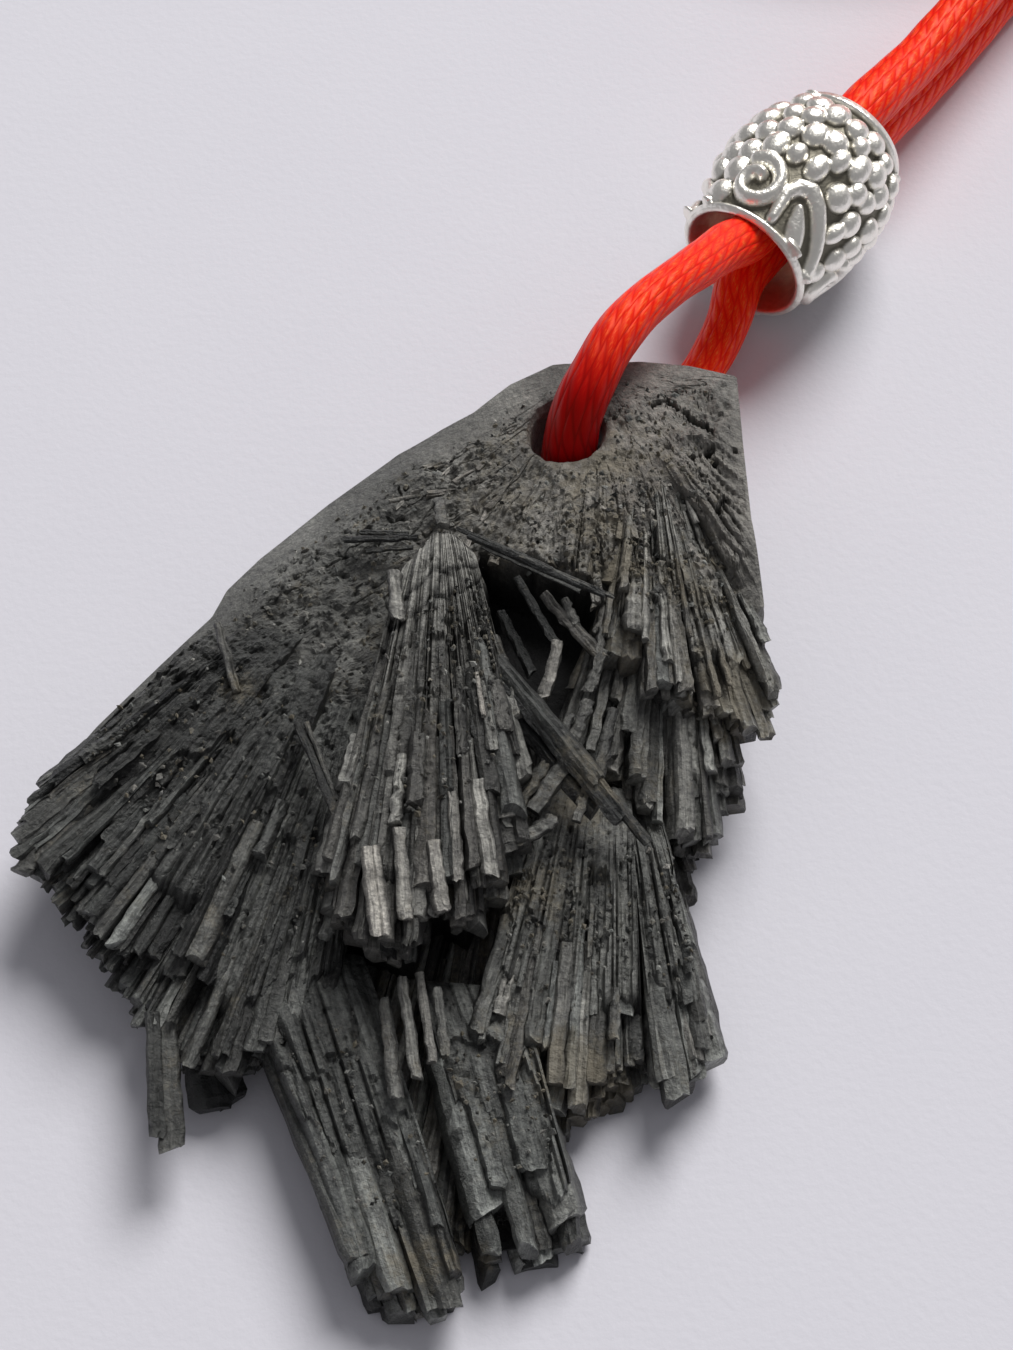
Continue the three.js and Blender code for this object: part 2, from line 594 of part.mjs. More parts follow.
/** A plain closed tube of the cord's thickness along a route. */
function tube(route) {
  const path = new THREE.CatmullRomCurve3(route, false, "centripetal");
  const corners = Array.from({ length: CORD_SIDES }, (_, i) => {
    const turn = (2 * Math.PI * (i + 0.5)) / CORD_SIDES;
    return new THREE.Vector2(CORD_SOLID_RADIUS * Math.cos(turn), CORD_SOLID_RADIUS * Math.sin(turn));
  });
  const steps = Math.ceil(path.getLength() / CORD_DIAMETER);
  return new THREE.ExtrudeGeometry(new THREE.Shape(corners), { steps, extrudePath: path });
}

/** The outer shape of the wound-up cord: a flat ring. */
function coil() {
  const height = COIL.layers * STACK_PITCH;
  const profile = [
    [COIL_INSIDE, 0], [COIL_OUTSIDE, 0], [COIL_OUTSIDE, height], [COIL_INSIDE, height], [COIL_INSIDE, 0],
  ].map(([r, y]) => new THREE.Vector2(r, y));
  const ring = new THREE.LatheGeometry(profile, COIL.sides).rotateX(Math.PI / 2);
  return ring.translate(COIL_CENTRE.x, COIL_CENTRE.y, 0);
}

// ---- the knot ----------------------------------------------------------------------------------

/** The wrapped knot that ties both ends: a ribbed barrel with two cut tails, along +X. */
function knot() {
  const half = KNOT.length / 2;
  const ribs = [];
  for (let i = 0; i <= 2 * KNOT.wraps; i += 1) {
    const radius = i % 2 === 0 ? KNOT.waist : KNOT.radius;
    ribs.push(new THREE.Vector2(radius, -half + (KNOT.length * i) / (2 * KNOT.wraps)));
  }
  const profile = [new THREE.Vector2(0, -half), ...ribs, new THREE.Vector2(0, half)];
  const barrel = solid(new THREE.LatheGeometry(profile, KNOT.sides).rotateZ(-Math.PI / 2));
  const tail = (z) => {
    const length = KNOT.tail + KNOT.tailInside;
    const run = new THREE.CylinderGeometry(CORD_SOLID_RADIUS, CORD_SOLID_RADIUS, length, CORD_SIDES);
    return solid(run.rotateZ(Math.PI / 2).translate(half + KNOT.tail - length / 2, 0, z));
  };
  return geometryOf(join([barrel, tail(STACK_PITCH / 2), tail(-STACK_PITCH / 2)]));
}

// ---- the pendant -------------------------------------------------------------------------------

const pendant = new THREE.Group();
pendant.add(piece("kyanite_fan", geometryOf(kyaniteFan()), stoneFinish));
pendant.add(piece("silver_bead", bead(), beadFinish));
pendant.add(piece("cord_front", tube(FRONT_ROUTE), cordFinish));
pendant.add(piece("cord_back", tube(BACK_ROUTE), cordFinish));
pendant.add(piece("cord_coil", coil(), cordFinish));

// The knot lies inside the coil, against its inner wall.
const endKnot = piece("end_knot", knot(), cordFinish);
const ribReach = KNOT.length / 2 - KNOT.length / (2 * KNOT.wraps);
const knotOut = Math.sqrt((COIL_INSIDE - TOUCHING_GAP) ** 2 - ribReach ** 2) - KNOT.radius;
endKnot.position.set(COIL_CENTRE.x, COIL_CENTRE.y + knotOut, KNOT.radius);
endKnot.rotation.z = Math.PI;
pendant.add(endKnot);

export default pendant;
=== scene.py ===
"""A black kyanite fan pendant on a doubled red satin cord with a granulated silver-coloured bead.

Lengths in this script are millimetres until a mesh, light or camera is made, which is in metres.
"""
import math
from dataclasses import dataclass

import bpy
import numpy as np
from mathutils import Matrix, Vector


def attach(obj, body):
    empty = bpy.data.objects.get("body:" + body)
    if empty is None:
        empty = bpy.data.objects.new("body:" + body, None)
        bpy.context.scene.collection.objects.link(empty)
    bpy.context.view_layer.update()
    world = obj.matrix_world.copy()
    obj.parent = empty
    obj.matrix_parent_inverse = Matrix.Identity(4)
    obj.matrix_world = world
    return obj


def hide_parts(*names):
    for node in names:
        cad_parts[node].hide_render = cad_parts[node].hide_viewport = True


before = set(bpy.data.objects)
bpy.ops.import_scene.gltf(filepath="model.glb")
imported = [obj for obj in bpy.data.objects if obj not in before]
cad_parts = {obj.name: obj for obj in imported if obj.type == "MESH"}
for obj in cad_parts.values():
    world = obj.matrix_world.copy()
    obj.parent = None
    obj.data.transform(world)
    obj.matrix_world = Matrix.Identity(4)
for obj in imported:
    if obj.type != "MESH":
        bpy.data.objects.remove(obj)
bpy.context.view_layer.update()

MM = 0.001
BODY = "root"


# ---- sizes that the solids share ---------------------------------------------------------------
HALF_WIDTH = 16.25
HALF_LENGTH = 21.15
TOP_LIMIT = 10.0
HOLE_CENTRE = np.array([7.1, 17.2])
HOLE_RADIUS = 1.65
CORD_DIAMETER = 2.5
STACK_PITCH = 2.6
BEAD_CENTRE = np.array([18.75, 33.75, 4.2])
BEAD_BORE = 2.75
CORD_AZIMUTH = math.radians(54)
COIL_OUTER_TURN = 17.5
COIL_TURNS = 2.9
COIL_LEAD_OUT = 36.0
KNOT_RADIUS = 3.6
KNOT_LENGTH = 7.0
KNOT_TAIL = 2.8

# The doubled cord runs ahead through the bead, one run over the other, and its coil lies to the left.
AHEAD = np.array([math.cos(CORD_AZIMUTH), math.sin(CORD_AZIMUTH), 0.0])
LEFT_OF_AHEAD = np.array([-AHEAD[1], AHEAD[0], 0.0])
HIGH = BEAD_CENTRE[2] + STACK_PITCH / 2
LOW = BEAD_CENTRE[2] - STACK_PITCH / 2
COIL_HIGH = 3.85
COIL_LOW = 1.25
FLOOR_SEAT = BEAD_CENTRE * [1, 1, 0]
COIL_CENTRE = FLOOR_SEAT + AHEAD * COIL_LEAD_OUT + LEFT_OF_AHEAD * COIL_OUTER_TURN
KNOT_CENTRE = COIL_CENTRE + [0, 4.78, KNOT_RADIUS]


# ---- making meshes -----------------------------------------------------------------------------
def make_piece(name, points, faces, material, attributes=None, uv=None, smooth=False):
    """A mesh object from points in millimetres and a list of face arrays, each of one corner count.

    attributes has values by point, and uv has one pair for each corner of each face.
    """
    corners = np.concatenate([f.ravel() for f in faces])
    sizes = np.concatenate([np.full(len(f), f.shape[1]) for f in faces])
    mesh = bpy.data.meshes.new(name)
    mesh.vertices.add(len(points))
    mesh.vertices.foreach_set("co", (points * MM).astype(np.float32).ravel())
    mesh.loops.add(len(corners))
    mesh.loops.foreach_set("vertex_index", corners.astype(np.int32))
    mesh.polygons.add(len(sizes))
    mesh.polygons.foreach_set("loop_start", (np.cumsum(sizes) - sizes).astype(np.int32))
    mesh.polygons.foreach_set("use_smooth", np.full(len(sizes), smooth))
    mesh.update(calc_edges=True)
    if uv is not None:
        layer = mesh.uv_layers.new(name="UVMap")
        layer.data.foreach_set("uv", uv.astype(np.float32).ravel())
    for key, values in (attributes or {}).items():
        kind = "FLOAT_VECTOR" if values.ndim == 2 else "FLOAT"
        channel = mesh.attributes.new(key, kind, "POINT")
        field = "vector" if values.ndim == 2 else "value"
        channel.data.foreach_set(field, values.astype(np.float32).ravel())
    mesh.materials.append(material)
    piece = bpy.data.objects.new(name, mesh)
    bpy.context.scene.collection.objects.link(piece)
    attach(piece, BODY)
    return piece


def grid_faces(rows, columns, wrap_rows=False, wrap_columns=False):
    """Quads of a rows by columns grid of points, closed round either way where asked."""
    last_row = rows if wrap_rows else rows - 1
    last_column = columns if wrap_columns else columns - 1
    i, j = np.meshgrid(np.arange(last_row), np.arange(last_column), indexing="ij")
    i, j = i.ravel(), j.ravel()
    down, along_row = (i + 1) % rows, (j + 1) % columns
    return np.stack(
        [i * columns + j, i * columns + along_row, down * columns + along_row, down * columns + j], axis=1
    )


def joined(parts):
    """Several (points, faces, attributes) joined in one, with the faces' numbers moved up."""
    points, faces, attributes, base = [], [], {}, 0
    for part_points, part_faces, part_attributes in parts:
        points.append(part_points)
        faces += [f + base for f in part_faces]
        for key, values in part_attributes.items():
            attributes.setdefault(key, []).append(values)
        base += len(part_points)
    return np.concatenate(points), faces, {k: np.concatenate(v) for k, v in attributes.items()}


def keep_off_floor(points):
    """Points moved up to the surface that the pendant lies on, where they would go through it."""
    points[..., 2] = np.maximum(points[..., 2], 0.0)
    return points


# ---- lines, distances and noise ----------------------------------------------------------------
def unit(vectors):
    """The vectors at length 1."""
    return vectors / np.maximum(np.linalg.norm(vectors, axis=-1, keepdims=True), 1e-9)


def smoothstep(value, low, high):
    """0 below low, 1 above high, and the smooth cubic between."""
    t = np.clip((value - low) / (high - low), 0, 1)
    return t * t * (3 - 2 * t)


def places_along(points):
    """How far along a line of points each of them lies."""
    return np.concatenate([[0], np.cumsum(np.linalg.norm(np.diff(points, axis=0), axis=1))])


def line_length(points):
    """The length of a line of points."""
    return float(places_along(points)[-1])


def points_at(marks, places, points):
    """Points at the given marks on a line whose own points lie at the given places."""
    return np.stack([np.interp(marks, places, values) for values in np.transpose(points)], axis=-1)


def along_line(points, share):
    """Points at shares of the length of a line."""
    places = places_along(points)
    return points_at(share * places[-1], places, points)


def along_links(points, share):
    """Points at shares of a line, where each link between two of its points has an equal share."""
    return points_at(share * (len(points) - 1), np.arange(len(points)), points)


def evenly(points, step):
    """The same line with its points step apart."""
    places = places_along(points)
    return points_at(np.linspace(0, places[-1], int(round(places[-1] / step)) + 1), places, points)


def away_from(centre, x, y):
    """Distance in plan from a centre."""
    return np.hypot(x - centre[0], y - centre[1])


def to_segment(x, y, start, end):
    """Distance in plan from a straight line between two points, and the share of the way along it."""
    (ax, ay), (bx, by) = start, end
    t = np.clip(((x - ax) * (bx - ax) + (y - ay) * (by - ay)) / ((bx - ax) ** 2 + (by - ay) ** 2), 0, 1)
    return np.hypot(x - ax - t * (bx - ax), y - ay - t * (by - ay)), t


def to_line(x, y, line):
    """Distance in plan from an open line of points, and the share of the way along it."""
    best, where = np.full(x.shape, 1e9), np.zeros(x.shape)
    for i, (start, end) in enumerate(zip(line[:-1], line[1:])):
        gap, t = to_segment(x, y, start, end)
        where = np.where(gap < best, (i + t) / (len(line) - 1), where)
        best = np.minimum(best, gap)
    return best, where


def depth_inside(x, y, outline):
    """Distance in plan from a closed outline, positive inside it and negative outside."""
    best, inside = np.full(x.shape, 1e9), np.zeros(x.shape, bool)
    for (ax, ay), (bx, by) in zip(outline, outline[1:] + outline[:1]):
        best = np.minimum(best, to_segment(x, y, (ax, ay), (bx, by))[0])
        slope = (bx - ax) * (y - ay) / (1e-9 if by == ay else by - ay) + ax
        inside ^= ((ay > y) != (by > y)) & (x < slope)
    return np.where(inside, best, -best)


def value_noise(x, y, seed):
    """Smooth noise from -1 to 1: random values on a unit lattice, blended by the smoothstep of x and y."""
    ix, iy = np.floor(x), np.floor(y)
    fx, fy = smoothstep(x - ix, 0, 1), smoothstep(y - iy, 0, 1)

    def corner(dx, dy):
        wave = np.sin((ix + dx) * 127.1 + (iy + dy) * 311.7 + seed * 74.7) * 43758.5453
        return wave - np.floor(wave)

    low = corner(0, 0) * (1 - fx) + corner(1, 0) * fx
    high = corner(0, 1) * (1 - fx) + corner(1, 1) * fx
    return (low * (1 - fy) + high * fy) * 2 - 1


def fractal_noise(x, y, seed, octaves=4):
    """Value noise added to itself at double the frequency and half the height."""
    return sum(value_noise(x * 2**k, y * 2**k, seed + k) / 2**k for k in range(octaves))


def clipped_normal(rng, middle, spread, count):
    """Normal draws about the middle, kept from 0 to 1."""
    return np.clip(rng.normal(middle, spread, count), 0, 1)


# ---- camera ------------------------------------------------------------------------------------
VIEW_ELEVATION = math.radians(60)
VIEW_TARGET = Vector((4.45, 6.85, 4.0)) * MM
VIEW_DISTANCE = 109.5 * MM
VIEW_HEIGHT_ANGLE = math.radians(30)


def make_camera():
    """The camera looks down at the pendant from its pointed end."""
    heading = Vector((0, math.cos(VIEW_ELEVATION), -math.sin(VIEW_ELEVATION)))
    data = bpy.data.cameras.new("camera")
    data.sensor_fit = "VERTICAL"
    data.angle = VIEW_HEIGHT_ANGLE
    data.clip_start = 0.005
    data.clip_end = 10
    camera = bpy.data.objects.new("camera", data)
    camera.location = VIEW_TARGET - heading * VIEW_DISTANCE
    camera.rotation_euler = heading.to_track_quat("-Z", "Y").to_euler()
    bpy.context.scene.collection.objects.link(camera)
    bpy.context.scene.camera = camera


make_camera()


# ---- node helpers ------------------------------------------------------------------------------
class Nodes:
    """Short calls for building a node tree: add returns the new node, and the others its output."""

    def __init__(self, tree):
        self.tree = tree

    def add(self, kind, settings=None, **inputs):
        node = self.tree.nodes.new(kind)
        for key, value in (settings or {}).items():
            setattr(node, key, value)
        for key, value in inputs.items():
            self.feed(node.inputs[key.replace("_", " ")], value)
        return node

    def feed(self, socket, value):
        if isinstance(value, bpy.types.NodeSocket):
            self.tree.links.new(value, socket)
        else:
            socket.default_value = value

    def math(self, operation, a, b=0.0, c=0.0, clamp=False):
        node = self.add("ShaderNodeMath", {"operation": operation, "use_clamp": clamp})
        for socket, value in zip(node.inputs, (a, b, c)):
            self.feed(socket, value)
        return node.outputs[0]

    def remap(self, value, low, high, to_low=0.0, to_high=1.0):
        node = self.add("ShaderNodeMapRange", {"interpolation_type": "SMOOTHSTEP"})
        for socket, number in zip(node.inputs, (value, low, high, to_low, to_high)):
            self.feed(socket, number)
        return node.outputs[0]

    def mix(self, factor, a, b, blend="MIX"):
        node = self.add("ShaderNodeMix", {"data_type": "RGBA", "blend_type": blend})
        self.feed(node.inputs[0], factor)
        self.feed(node.inputs[6], a)
        self.feed(node.inputs[7], b)
        return node.outputs[2]

    def noise(self, vector, scale, detail=3.0, roughness=0.55):
        node = self.add("ShaderNodeTexNoise", Vector=vector, Scale=scale, Detail=detail, Roughness=roughness)
        return node.outputs["Fac"]

    def scaled(self, vector, x, y, z):
        node = self.add("ShaderNodeVectorMath", {"operation": "MULTIPLY"})
        self.feed(node.inputs[0], vector)
        self.feed(node.inputs[1], (x, y, z))
        return node.outputs[0]

    def attribute(self, name, output="Fac"):
        return self.add("ShaderNodeAttribute", {"attribute_name": name}).outputs[output]

    def object_mm(self):
        """Object coordinates in millimetres."""
        coordinates = self.add("ShaderNodeTexCoord").outputs["Object"]
        return self.scaled(coordinates, 1 / MM, 1 / MM, 1 / MM)


def new_group(name, inputs, outputs):
    """An empty shader node group, with its Nodes helper and the sockets that it is given and gives out."""
    tree = bpy.data.node_groups.new(name, "ShaderNodeTree")
    for socket, kind in inputs:
        tree.interface.new_socket(socket, in_out="INPUT", socket_type=kind)
    for socket, kind in outputs:
        tree.interface.new_socket(socket, in_out="OUTPUT", socket_type=kind)
    start = tree.nodes.new("NodeGroupInput")
    end = tree.nodes.new("NodeGroupOutput")
    return tree, Nodes(tree), start.outputs, end.inputs


def use_group(nodes, tree, **inputs):
    """Places a group in a material and returns its outputs."""
    node = nodes.add("ShaderNodeGroup", {"node_tree": tree})
    for key, value in inputs.items():
        nodes.feed(node.inputs[key.replace("_", " ")], value)
    return node.outputs


def new_material(name):
    """A material with its Nodes helper and its Principled BSDF."""
    material = bpy.data.materials.new(name)
    material.use_nodes = True
    return material, Nodes(material.node_tree), material.node_tree.nodes["Principled BSDF"]


def bump(nodes, height, distance, strength=1.0, normal=None):
    """A Bump node's normal for a height from 0 to 1 that stands for so many millimetres."""
    node = nodes.add("ShaderNodeBump", Strength=strength, Distance=distance * MM, Height=height)
    if normal is not None:
        nodes.feed(node.inputs["Normal"], normal)
    return node.outputs["Normal"]


# ---- finishes ----------------------------------------------------------------------------------
VECTOR, FLOAT = "NodeSocketVector", "NodeSocketFloat"


def striation_group():
    """Fine lines along a crystal: noise stretched along the second part of its grain coordinate."""
    tree, n, given, out = new_group(
        "striations", [("Grain", VECTOR), ("Fineness", FLOAT)], [("Lines", FLOAT), ("Breaks", FLOAT)]
    )
    broad = n.noise(n.scaled(given["Grain"], 3.2, 0.25, 1.0), 1.0, 2.0)
    fine = n.noise(n.scaled(given["Grain"], 11.0, 0.6, 1.0), given["Fineness"], 3.0, 0.65)
    n.feed(out["Lines"], n.math("ADD", n.math("MULTIPLY", broad, 0.45), n.math("MULTIPLY", fine, 0.55)))
    cross = n.noise(n.scaled(given["Grain"], 1.6, 2.6, 1.0), 1.0, 4.0, 0.7)
    n.feed(out["Breaks"], n.remap(cross, 0.56, 0.7))
    return tree


def dust_group():
    """Clay dust left in the hollows: patches of noise where the given mask lets it lie."""
    tree, n, given, out = new_group("clay_dust", [("Place", VECTOR), ("Where", FLOAT)], [("Dust", FLOAT)])
    patches = n.noise(given["Place"], 0.42, 4.0, 0.6)
    grains = n.noise(given["Place"], 3.6, 3.0, 0.7)
    spread = n.math("ADD", n.math("MULTIPLY", patches, 0.62), n.math("MULTIPLY", grains, 0.48))
    spread = n.math("ADD", spread, n.math("MULTIPLY", given["Where"], 0.34))
    n.feed(out["Dust"], n.remap(spread, 0.66, 0.92))
    return tree


STRIATIONS = striation_group()
CLAY_DUST = dust_group()


COOL_STONE = (0.009, 0.010, 0.010, 1), (0.435, 0.455, 0.435, 1)
WARM_STONE = (0.012, 0.010, 0.009, 1), (0.560, 0.520, 0.470, 1)
CLAY = (0.10, 0.088, 0.06, 1), (0.29, 0.25, 0.175, 1)
BROKEN_FACE = (0.27, 0.26, 0.235, 1)
FLECK = (0.34, 0.335, 0.30, 1)
# The near black that the groove_and_shade attribute lays in grooves, pits, cracks and hollows: painted shade.
PAINTED_GROOVE_SHADE = (0.004, 0.004, 0.004, 1)


def kyanite_material(name, roughness, line_height, grit_height, streak, speckle, dust_amount):
    """Black kyanite: grey-green to brown-grey by crystal, streaked along its grain and speckled, painted
    dark in its grooves as shade, and dusty in its hollows."""
    material, n, shader = new_material(name)

    def shaded(body, mask, dimmer, brighter, blue):
        """The colour, dimmer where the mask is 0, and brighter and a little less blue where it is 1."""
        dim, lit = 1 - dimmer, 1 + brighter
        return n.mix(1.0, body, n.mix(mask, (dim, dim, dim, 1), (lit, lit, lit * blue, 1)), "MULTIPLY")

    place = n.object_mm()
    grain = n.attribute("grain", "Vector")
    tone = n.attribute("tone")
    warmth = n.attribute("warmth")
    groove_and_shade = n.attribute("groove_and_shade")
    streaks = use_group(n, STRIATIONS, Grain=grain, Fineness=1.0)
    dust = use_group(n, CLAY_DUST, Place=place, Where=n.attribute("dust"))["Dust"]
    paleness = n.math("MULTIPLY", tone, tone)
    cool = n.mix(paleness, *COOL_STONE)
    body = n.mix(warmth, cool, n.mix(paleness, *WARM_STONE))
    body = shaded(body, n.remap(streaks["Lines"], 0.36, 0.66), 0.55 * streak, 0.6 * streak, 0.99)
    mottle = n.remap(n.noise(place, 3.4, 5.0, 0.75), 0.36, 0.64)
    body = shaded(body, mottle, 0.6 * speckle, 0.4 * speckle, 0.98)
    broken = n.math("MULTIPLY", streaks["Breaks"], n.math("MULTIPLY_ADD", tone, 0.4, 0.02))
    body = n.mix(broken, body, BROKEN_FACE)
    fleck = n.remap(n.noise(place, 5.5, 3.0, 0.6), 0.6, 0.7)
    body = n.mix(n.math("MULTIPLY", fleck, n.math("MULTIPLY", tone, 1.1 * speckle)), body, FLECK)
    clay = n.mix(n.noise(place, 1.7, 3.0), *CLAY)
    body = n.mix(n.math("MULTIPLY", dust, dust_amount), body, clay)
    # Painted shade: near black where the groove_and_shade attribute says shade falls between and under the
    # laths.
    body = n.mix(n.math("MULTIPLY", groove_and_shade, 0.96), body, PAINTED_GROOVE_SHADE)
    n.feed(shader.inputs["Base Color"], body)
    sheen = n.math("MULTIPLY_ADD", streaks["Lines"], 0.3, roughness - 0.15)
    n.feed(shader.inputs["Roughness"], n.math("ADD", sheen, n.math("MULTIPLY", dust, 0.22), clamp=True))
    shader.inputs["Specular IOR Level"].default_value = 0.36
    shader.inputs["IOR"].default_value = 1.6
    grit = n.noise(place, 3.2, 5.0, 0.7)
    lined = bump(n, streaks["Lines"], line_height)
    n.feed(shader.inputs["Normal"], bump(n, grit, grit_height, 1.0, lined))
    return material


LATH_FINISH = kyanite_material(
    "kyanite_laths", roughness=0.40, line_height=0.06, grit_height=0.20, streak=0.6, speckle=0.6,
    dust_amount=0.65,
)
COMPACT_FINISH = kyanite_material(
    "compact_kyanite", roughness=0.58, line_height=0.05, grit_height=0.20, streak=0.3, speckle=0.55,
    dust_amount=0.7,
)


# ---- the stone: shared shape -------------------------------------------------------------------
# The underside leans up behind LEAN_FROM to LEAN_MOST, and to the left of WING_FROM.
LEAN_FROM, LEAN_SLOPE, LEAN_MOST = -6.0, 0.14, 2.9
WING_FROM, WING_SLOPE = -6.0, 0.16


def underside(x, y):
    """Height of the stone's underside: flat in front, leaning up to the drilled end and the left wing."""
    lean = np.clip((y - LEAN_FROM) * LEAN_SLOPE, 0, LEAN_MOST)
    return np.maximum(lean, np.maximum(0, WING_FROM - x) * WING_SLOPE)


# The compact top's outline in plan: its ground edge first, as EDGE_POINTS points, then its front.
SHIELD_PLAN = [
    (-15.4, 2.2), (-13.1, 4.7), (-10.7, 7.3), (-8.5, 9.6), (-7.9, 10.9), (-6.5, 12.4), (-3.5, 15.0),
    (-0.4, 17.4), (1.5, 18.3), (3.0, 18.9), (4.6, 20.1), (6.5, 21.0), (10.5, 21.15), (12.7, 20.9),
    (14.8, 20.3), (14.9, 16.8), (15.1, 12.7), (15.6, 9.2),
    (14.6, 8.0), (11.0, 7.4), (7.6, 4.8), (3.5, 4.0), (0.0, 3.0), (-4.0, 3.5), (-8.0, 2.5), (-12.0, 0.5),
]
EDGE_POINTS = 18
CUT_EDGE = SHIELD_PLAN[:EDGE_POINTS]
FRONT_EDGE = SHIELD_PLAN[EDGE_POINTS - 1:] + SHIELD_PLAN[:1]
TOP_AT_HOLE, TOP_FALL_LEFT, TOP_FALL_FRONT = 7.9, 0.13, 0.03
BEVEL_WIDTH = 2.3
BEVEL_DROP = 1.35
SLIGHT_BEVEL_DROP = 0.4
DEEP_TO_X, SLIGHT_FROM_X = -1.0, 5.0
FRONT_DROP, FRONT_WIDTH = 1.3, 3.2
HOLLOW_RIM = [
    (3.1, 11.2), (5.6, 10.6), (8.0, 9.4), (9.2, 7.2), (8.9, 5.2), (7.4, 4.4), (5.4, 3.0), (4.2, 4.6),
    (3.6, 8.0),
]
HOLLOW_FLOOR = 3.9
# The point in plan that the laths of the compact top spread from.
FAN_APEX = np.array([8.6, 20.4])
# Broken grooves in the compact top by the corner: half width, and line in plan.
BROKEN_GROOVES = [
    (0.1, [(10.9, 18.4), (11.5, 18.75), (12.3, 18.1)]), (0.2, [(12.3, 18.1), (12.7, 17.7), (13.4, 17.3)]),
    (0.12, [(12.4, 15.8), (13.1, 15.95), (13.5, 16.25)]), (0.09, [(13.6, 15.6), (14.2, 16.05), (14.6, 16.3)]),
    (0.12, [(12.6, 15.7), (12.9, 14.95), (13.25, 14.2)]), (0.1, [(14.1, 13.95), (13.65, 13.0)]),
]
GROOVE_DEPTH = 0.5
# Broken stone heaped beside them.
SPOIL_CENTRE = (13.0, 16.75)
SPOIL_REACH = 1.1
SPOIL_HEIGHT = 0.5


def from_apex(x, y):
    """Bearing and distance in plan from the point that the laths of the compact top spread from."""
    return np.arctan2(y - FAN_APEX[1], x - FAN_APEX[0]), away_from(FAN_APEX, x, y)


def shield_top(x, y):
    """Height of the compact top of the stone, falling to the left and a little to the front."""
    left = np.maximum(0, HOLE_CENTRE[0] - x) * TOP_FALL_LEFT
    return TOP_AT_HOLE - left - np.maximum(0, HOLE_CENTRE[1] - y) * TOP_FALL_FRONT


def bevel_drop(x):
    """How far the ground bevel falls at the outline: deep along the left, slight along the top."""
    return BEVEL_DROP + (SLIGHT_BEVEL_DROP - BEVEL_DROP) * smoothstep(x, DEEP_TO_X, SLIGHT_FROM_X)


def keep_inside(points):
    """Points moved back inside the block that the stone fills."""
    return np.clip(points, [-HALF_WIDTH, -HALF_LENGTH, 0.0], [HALF_WIDTH, HALF_LENGTH, TOP_LIMIT])


# ---- the stone: laths --------------------------------------------------------------------------
# A lath's section, in half widths and half thicknesses, and how much painted shade each corner
# carries: its lower sides and bottom are painted dark, as the shade between laths.
SECTION = np.array([
    (-1.0, -0.3), (-0.94, 0.42), (-0.66, 0.86), (-0.22, 0.78), (0.16, 1.0), (0.6, 0.84), (0.94, 0.4),
    (1.0, -0.35), (0.8, -1.0), (-0.8, -1.0),
])
SECTION_SHADE = np.array([0.95, 0.6, 0.0, 0.1, 0.0, 0.05, 0.6, 0.95, 1.0, 1.0])
STATIONS = np.array([0.0, 0.09, 0.18, 0.28, 0.38, 0.48, 0.58, 0.68, 0.78, 0.87, 0.95, 1.0])
FIBRE_STATIONS = np.array([0.0, 0.5, 1.0])
# How far a lath strays at random: its line, its growth, its corners as a whole and at each station,
# the slant and the chips of its broken end beyond END_FROM, and its tone, all as spreads of draws.
LINE_STRAY, GROWTH_STRAY, CORNER_STRAY, STATION_STRAY = 0.03, 0.05, 0.1, 0.11
END_SLANT, END_CHIPS, END_FROM, TONE_STRAY = 0.22, 0.05, 0.9, 0.08
# A broken end is paler than the sides, and carries less painted shade.
END_PALER, END_LESS_SHADE = 0.12, 0.4
# The lengths over which the crystals' grain coordinates are spread, so that no two are alike.
GRAIN_SPREAD = 90
# Places where clay dust has gathered: x, y, reach and amount.
DUST_PLACES = np.array([
    (6.1, 12.6, 1.3, 0.5), (9.3, 10.6, 1.6, 0.8), (14.1, 4.8, 1.5, 0.9), (0.8, -18.8, 1.2, 0.8),
    (3.4, -18.2, 0.9, 0.8), (-6.9, 4.8, 0.9, 0.9), (6.6, -10.7, 1.7, 0.8), (8.4, -11.8, 1.4, 0.7),
    (7.4, 0.6, 1.5, 0.7), (5.6, -3.4, 1.8, 0.6), (11.5, 16.0, 1.6, 0.6), (-13.5, -3.4, 1.2, 0.3),
    (2.4, -11.2, 1.0, 0.5), (12.4, 9.0, 1.5, 0.5),
])


def dust_at(x, y):
    """Extra dust near the places where it has gathered."""
    amount = np.zeros(np.shape(x))
    for px, py, reach, most in DUST_PLACES:
        amount = amount + most * np.exp(-((x - px) ** 2 + (y - py) ** 2) / reach**2)
    return amount


